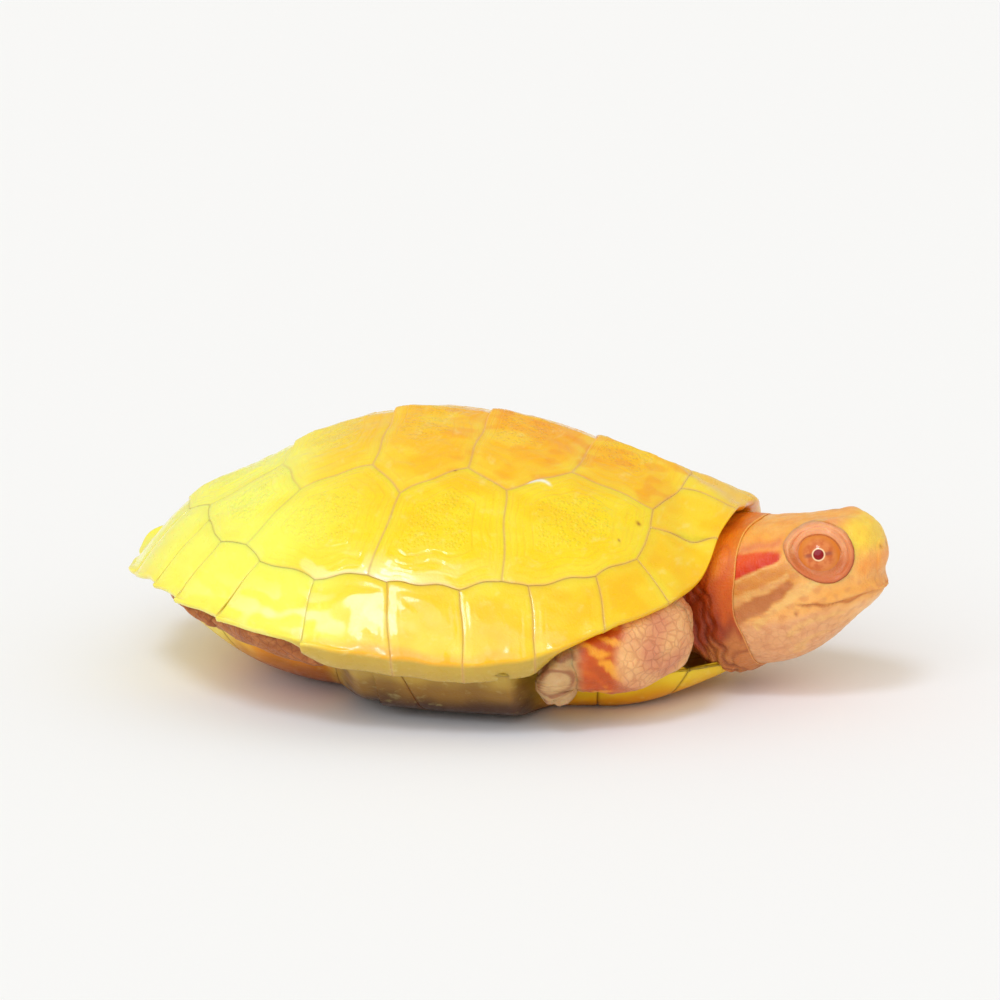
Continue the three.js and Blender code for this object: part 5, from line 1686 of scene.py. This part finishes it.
def streak_group() -> bpy.types.NodeTree:
    """Group for the clouds, streaks and grain inside horn, from a place to three masks."""
    tree = bpy.data.node_groups.new("horn_streaks", "ShaderNodeTree")
    tree.interface.new_socket("Place", in_out="INPUT", socket_type="NodeSocketVector")
    for name in ("Clouds", "Streaks", "Grain"):
        tree.interface.new_socket(name, in_out="OUTPUT", socket_type="NodeSocketFloat")
    nodes = Nodes(tree)
    place = nodes.add("NodeGroupInput").outputs["Place"]
    clouds = nodes.add(
        "ShaderNodeTexNoise", {"Vector": place, "Scale": 160.0, "Detail": 3.0}
    ).outputs["Fac"]
    long_ways = nodes.add(
        "ShaderNodeMapping", {"Vector": place, "Scale": (1.0, 0.35, 1.6)}
    ).outputs[0]
    streaks = nodes.add(
        "ShaderNodeTexNoise", {"Vector": long_ways, "Scale": 900.0, "Detail": 4.0}
    ).outputs["Fac"]
    grain = nodes.add(
        "ShaderNodeTexNoise", {"Vector": place, "Scale": 3800.0, "Detail": 2.0}
    ).outputs["Fac"]
    result = {"Clouds": clouds, "Streaks": streaks, "Grain": grain}
    nodes.add("NodeGroupOutput", result)
    return tree


def new_material(name: str) -> tuple[bpy.types.Material, Nodes, bpy.types.Node]:
    """A material with one Principled shader joined to its output."""
    material = bpy.data.materials.new(name)
    material.use_nodes = True
    material.node_tree.nodes.clear()
    nodes = Nodes(material.node_tree)
    shader = nodes.add("ShaderNodeBsdfPrincipled")
    nodes.add("ShaderNodeOutputMaterial", {"Surface": shader.outputs[0]})
    return material, nodes, shader


def feed(nodes: Nodes, shader: bpy.types.Node, inputs: dict) -> None:
    """Sets or links a shader's inputs."""
    for key, value in inputs.items():
        if isinstance(value, bpy.types.NodeSocket):
            nodes.tree.links.new(value, shader.inputs[key])
        else:
            shader.inputs[key].default_value = value


def horn_material(name: str, finish: HornFinish, streaks: bpy.types.NodeTree) -> bpy.types.Material:
    """Shell horn: the mesh's own paint, with clouds and streaks in it and grains on the areolae."""
    material, nodes, shader = new_material(name)
    place = nodes.add("ShaderNodeTexCoord").outputs["Object"]
    group = nodes.add("ShaderNodeGroup", node_tree=streaks)
    nodes.tree.links.new(place, group.inputs["Place"])
    clouds, lines, grain = (group.outputs[key] for key in ("Clouds", "Streaks", "Grain"))
    colour = nodes.colour_of("paint")
    deep = nodes.span(clouds, 0.4, 0.7, 0.0, 0.35)
    colour = nodes.blend(deep, colour, nodes.blend(1.0, colour, (0.98, 0.88, 0.62, 1), "MULTIPLY"))
    pale = nodes.span(lines, 0.56, 0.8, 0.0, 0.2)
    colour = nodes.blend(pale, colour, rgba(srgb(255, 246, 168)))
    areola = nodes.value_of("areola")
    beads = nodes.add("ShaderNodeTexVoronoi", {"Vector": place, "Scale": 2600.0}).outputs[
        "Distance"
    ]
    beads = nodes.math("MULTIPLY", nodes.span(beads, 0.1, 0.6, 1.0, 0.0), areola)
    fine = nodes.math("ADD", nodes.math("MULTIPLY", lines, 0.6), nodes.math("MULTIPLY", grain, 0.3))
    bump = nodes.add(
        "ShaderNodeBump",
        {"Height": nodes.math("ADD", fine, beads), "Strength": 0.5, "Distance": 0.00016},
    )
    rough = nodes.span(lines, 0.3, 0.7, finish.roughness - 0.06, finish.roughness + 0.12)
    feed(nodes, shader, {
        "Base Color": colour, "Roughness": rough, "Normal": bump.outputs[0],
        "Subsurface Weight": finish.scatter, "Subsurface Radius": (
            1.0, 0.62, 0.2
        ), "Subsurface Scale": finish.depth,
        "Coat Weight": finish.coat, "Coat Roughness": 0.07, "Specular IOR Level": finish.specular,
    })  # fmt: skip
    return material


def skin_material() -> bpy.types.Material:
    """Moist skin: the mesh's own paint under fine wrinkles and pores."""
    material, nodes, shader = new_material("moist_skin")
    place = nodes.add("ShaderNodeTexCoord").outputs["Object"]
    pores = nodes.add(
        "ShaderNodeTexVoronoi", {"Vector": place, "Scale": 3000.0}, feature="DISTANCE_TO_EDGE"
    ).outputs[0]
    fine = nodes.add(
        "ShaderNodeTexNoise", {"Vector": place, "Scale": 1200.0, "Detail": 4.0}
    ).outputs["Fac"]
    colour = nodes.colour_of("paint")
    colour = nodes.blend(
        nodes.span(fine, 0.35, 0.7, 0.0, 0.4), colour,
        nodes.blend(1.0, colour, (0.88, 0.72, 0.66, 1), "MULTIPLY"),
    )
    plates = nodes.add(
        "ShaderNodeTexVoronoi", {"Vector": place, "Scale": 1150.0}, feature="DISTANCE_TO_EDGE"
    ).outputs[0]
    crease = nodes.math(
        "MULTIPLY", nodes.span(plates, 0.01, 0.13, 1.0, 0.0), nodes.value_of("scaly")
    )
    colour = nodes.blend(
        nodes.math("MULTIPLY", crease, 0.42), colour,
        nodes.blend(1.0, colour, (0.66, 0.46, 0.4, 1), "MULTIPLY"),
    )
    height = nodes.math("ADD", nodes.math("MULTIPLY", nodes.span(pores, 0.0, 0.25), 0.5), fine)
    height = nodes.math("SUBTRACT", height, nodes.math("MULTIPLY", crease, 1.2))
    bump = nodes.add("ShaderNodeBump", {"Height": height, "Strength": 0.4, "Distance": 0.0001})
    feed(nodes, shader, {
        "Base Color": colour, "Roughness": nodes.span(
            fine, 0.3, 0.7, 0.34, 0.5
        ), "Normal": bump.outputs[0],
        "Subsurface Weight": 0.4, "Subsurface Radius": (
            1.0, 0.45, 0.25
        ), "Subsurface Scale": 0.0009,
        "Coat Weight": 0.12, "Coat Roughness": 0.15, "Specular IOR Level": 0.3,
    })  # fmt: skip
    return material


def eye_material() -> bpy.types.Material:
    """Eye: red pupil, cream ring, brownish pink iris with a faint bar, under a wet clear coat."""
    material, nodes, shader = new_material("wet_eye")
    radial, level = (nodes.value_of(name) for name in ("radial", "level"))
    place = nodes.add("ShaderNodeTexCoord").outputs["Object"]
    threads = nodes.add(
        "ShaderNodeTexNoise", {"Vector": place, "Scale": 1500.0, "Detail": 3.0}
    ).outputs["Fac"]
    iris = nodes.blend(
        nodes.span(threads, 0.35, 0.65), rgba(srgb(206, 104, 50)), rgba(srgb(226, 134, 72))
    )
    iris = nodes.blend(nodes.span(radial, 1.2, 1.9), iris, rgba(srgb(222, 132, 52)))
    bar = nodes.math(
        "MULTIPLY", nodes.span(nodes.math("ABSOLUTE", level), 0.05, 0.3, 1.0, 0.0),
        nodes.span(radial, 1.1, 1.6, 0.55, 0.0),
    )
    iris = nodes.blend(bar, iris, rgba(srgb(132, 66, 66)))
    ring = nodes.span(radial, 0.6, 0.7, 1.0, 0.0)
    colour = nodes.blend(ring, iris, rgba(srgb(248, 208, 158)))
    colour = nodes.blend(nodes.span(radial, 0.49, 0.55, 1.0, 0.0), colour, rgba(srgb(142, 6, 14)))
    feed(nodes, shader, {
        "Base Color": colour, "Roughness": 0.3, "Specular IOR Level": 0.1,
        "Coat Weight": 0.6, "Coat Roughness": 0.02, "Coat IOR": 1.4,
    })  # fmt: skip
    return material


def claw_material() -> bpy.types.Material:
    """Pale horn of the claws."""
    material, nodes, shader = new_material("claw_horn")
    place = nodes.add("ShaderNodeTexCoord").outputs["Object"]
    grain = nodes.add(
        "ShaderNodeTexNoise", {"Vector": place, "Scale": 1800.0, "Detail": 3.0}
    ).outputs["Fac"]
    colour = nodes.blend(
        nodes.span(grain, 0.35, 0.65), rgba(srgb(232, 196, 140)), rgba(srgb(246, 220, 168))
    )
    feed(nodes, shader, {
        "Base Color": colour, "Roughness": 0.3, "Coat Weight": 0.3,
        "Subsurface Weight": 0.2, "Subsurface Scale": 0.0005,
    })  # fmt: skip
    return material


# ------------------------------------------------------------------ the studio


@dataclass
class Studio:
    """Camera, pale floor and soft light."""

    azimuth: float = 9.5
    elevation: float = 15.0
    distance: float = 0.6
    frame_width: float = 0.1
    aim: tuple[float, float] = (0.00645, 0.0167)
    sky: float = 0.745
    sky_colour: tuple[float, float, float, float] = (1.0, 0.93, 0.8, 1.0)
    sun_colour: tuple[float, float, float] = (0.9, 1.08, 1.38)
    suns: tuple[tuple[str, float, float, tuple[float, float, float]], ...] = (
        ("broad_sun", 0.85, 50.0, (0.2, 1.0, -0.8)),
        ("key_sun", 0.5, 15.0, (0.15, 0.5, -0.86)),
    )
    floor_tone: tuple[float, float, float] = (0.935, 0.93, 0.922)

    def camera(self) -> None:
        """A long lens that looks slightly down on the animal's right side."""
        psi, e = math.radians(self.azimuth), math.radians(self.elevation)
        right = Vector((math.cos(psi), math.sin(psi), 0))
        forward = Vector((-math.sin(psi) * math.cos(e), math.cos(psi) * math.cos(e), -math.sin(e)))
        up = right.cross(forward)
        place = self.aim[0] * right + self.aim[1] * up - self.distance * forward
        data = bpy.data.cameras.new("camera")
        data.sensor_width = 36
        data.lens = 36 * self.distance / self.frame_width
        data.clip_start, data.clip_end = 0.01, 50
        camera = bpy.data.objects.new("camera", data)
        turn = Matrix((right, up, -forward)).transposed().to_4x4()
        camera.matrix_world = Matrix.Translation(place) @ turn
        bpy.context.scene.collection.objects.link(camera)
        bpy.context.scene.camera = camera

    def light(self) -> None:
        """An even pale sky, a broad soft sun and a smaller key, both from high in front."""
        world = bpy.data.worlds.new("sky")
        world.use_nodes = True
        background = world.node_tree.nodes["Background"]
        background.inputs["Color"].default_value = self.sky_colour
        background.inputs["Strength"].default_value = self.sky
        bpy.context.scene.world = world
        for name, energy, spread, heading in self.suns:
            data = bpy.data.lights.new(name, "SUN")
            data.energy = energy
            data.color = self.sun_colour
            data.angle = math.radians(spread)
            sun = bpy.data.objects.new(name, data)
            sun.rotation_euler = Vector(heading).to_track_quat("-Z", "Y").to_euler()
            bpy.context.scene.collection.objects.link(sun)
        bpy.context.scene.view_settings.view_transform = "Standard"

    def floor(self) -> None:
        """A wide pale floor at the height on which the belly rests."""
        mesh = bpy.data.meshes.new("floor")
        half = 6.0
        mesh.from_pydata(
            [(-half, -half, 0), (half, -half, 0), (half, half, 0), (-half, half, 0)], [],
            [(0, 1, 2, 3)],
        )
        material, nodes, shader = new_material("pale_floor")
        feed(
            nodes, shader,
            {"Base Color": (*self.floor_tone, 1), "Roughness": 0.8, "Specular IOR Level": 0.2},
        )
        mesh.materials.append(material)
        floor = bpy.data.objects.new("floor", mesh)
        bpy.context.scene.collection.objects.link(floor)


def main() -> None:
    """Builds the studio and the turtle, and reports each piece."""
    logging.basicConfig(level=logging.INFO, format="%(message)s")
    studio = Studio()
    studio.camera()
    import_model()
    streaks = streak_group()
    shell = horn_material("yellow_horn", HornFinish(), streaks)
    keel = horn_material("amber_horn", HornFinish(roughness=0.34), streaks)
    belly = horn_material("plate_horn", HornFinish(roughness=0.36, scatter=0.25, coat=0.2), streaks)
    form = ShellForm()
    Carapace(form, shell, keel).build()
    Plastron(form, belly).build()
    head = HeadForm()
    skin = Skin(head, form, skin_material())
    skin.build()
    Eyes(head, eye_material()).build()
    Claws(claw_material()).build()
    studio.light()
    studio.floor()
    bpy.context.view_layer.update()


if __name__ == "__main__":
    main()
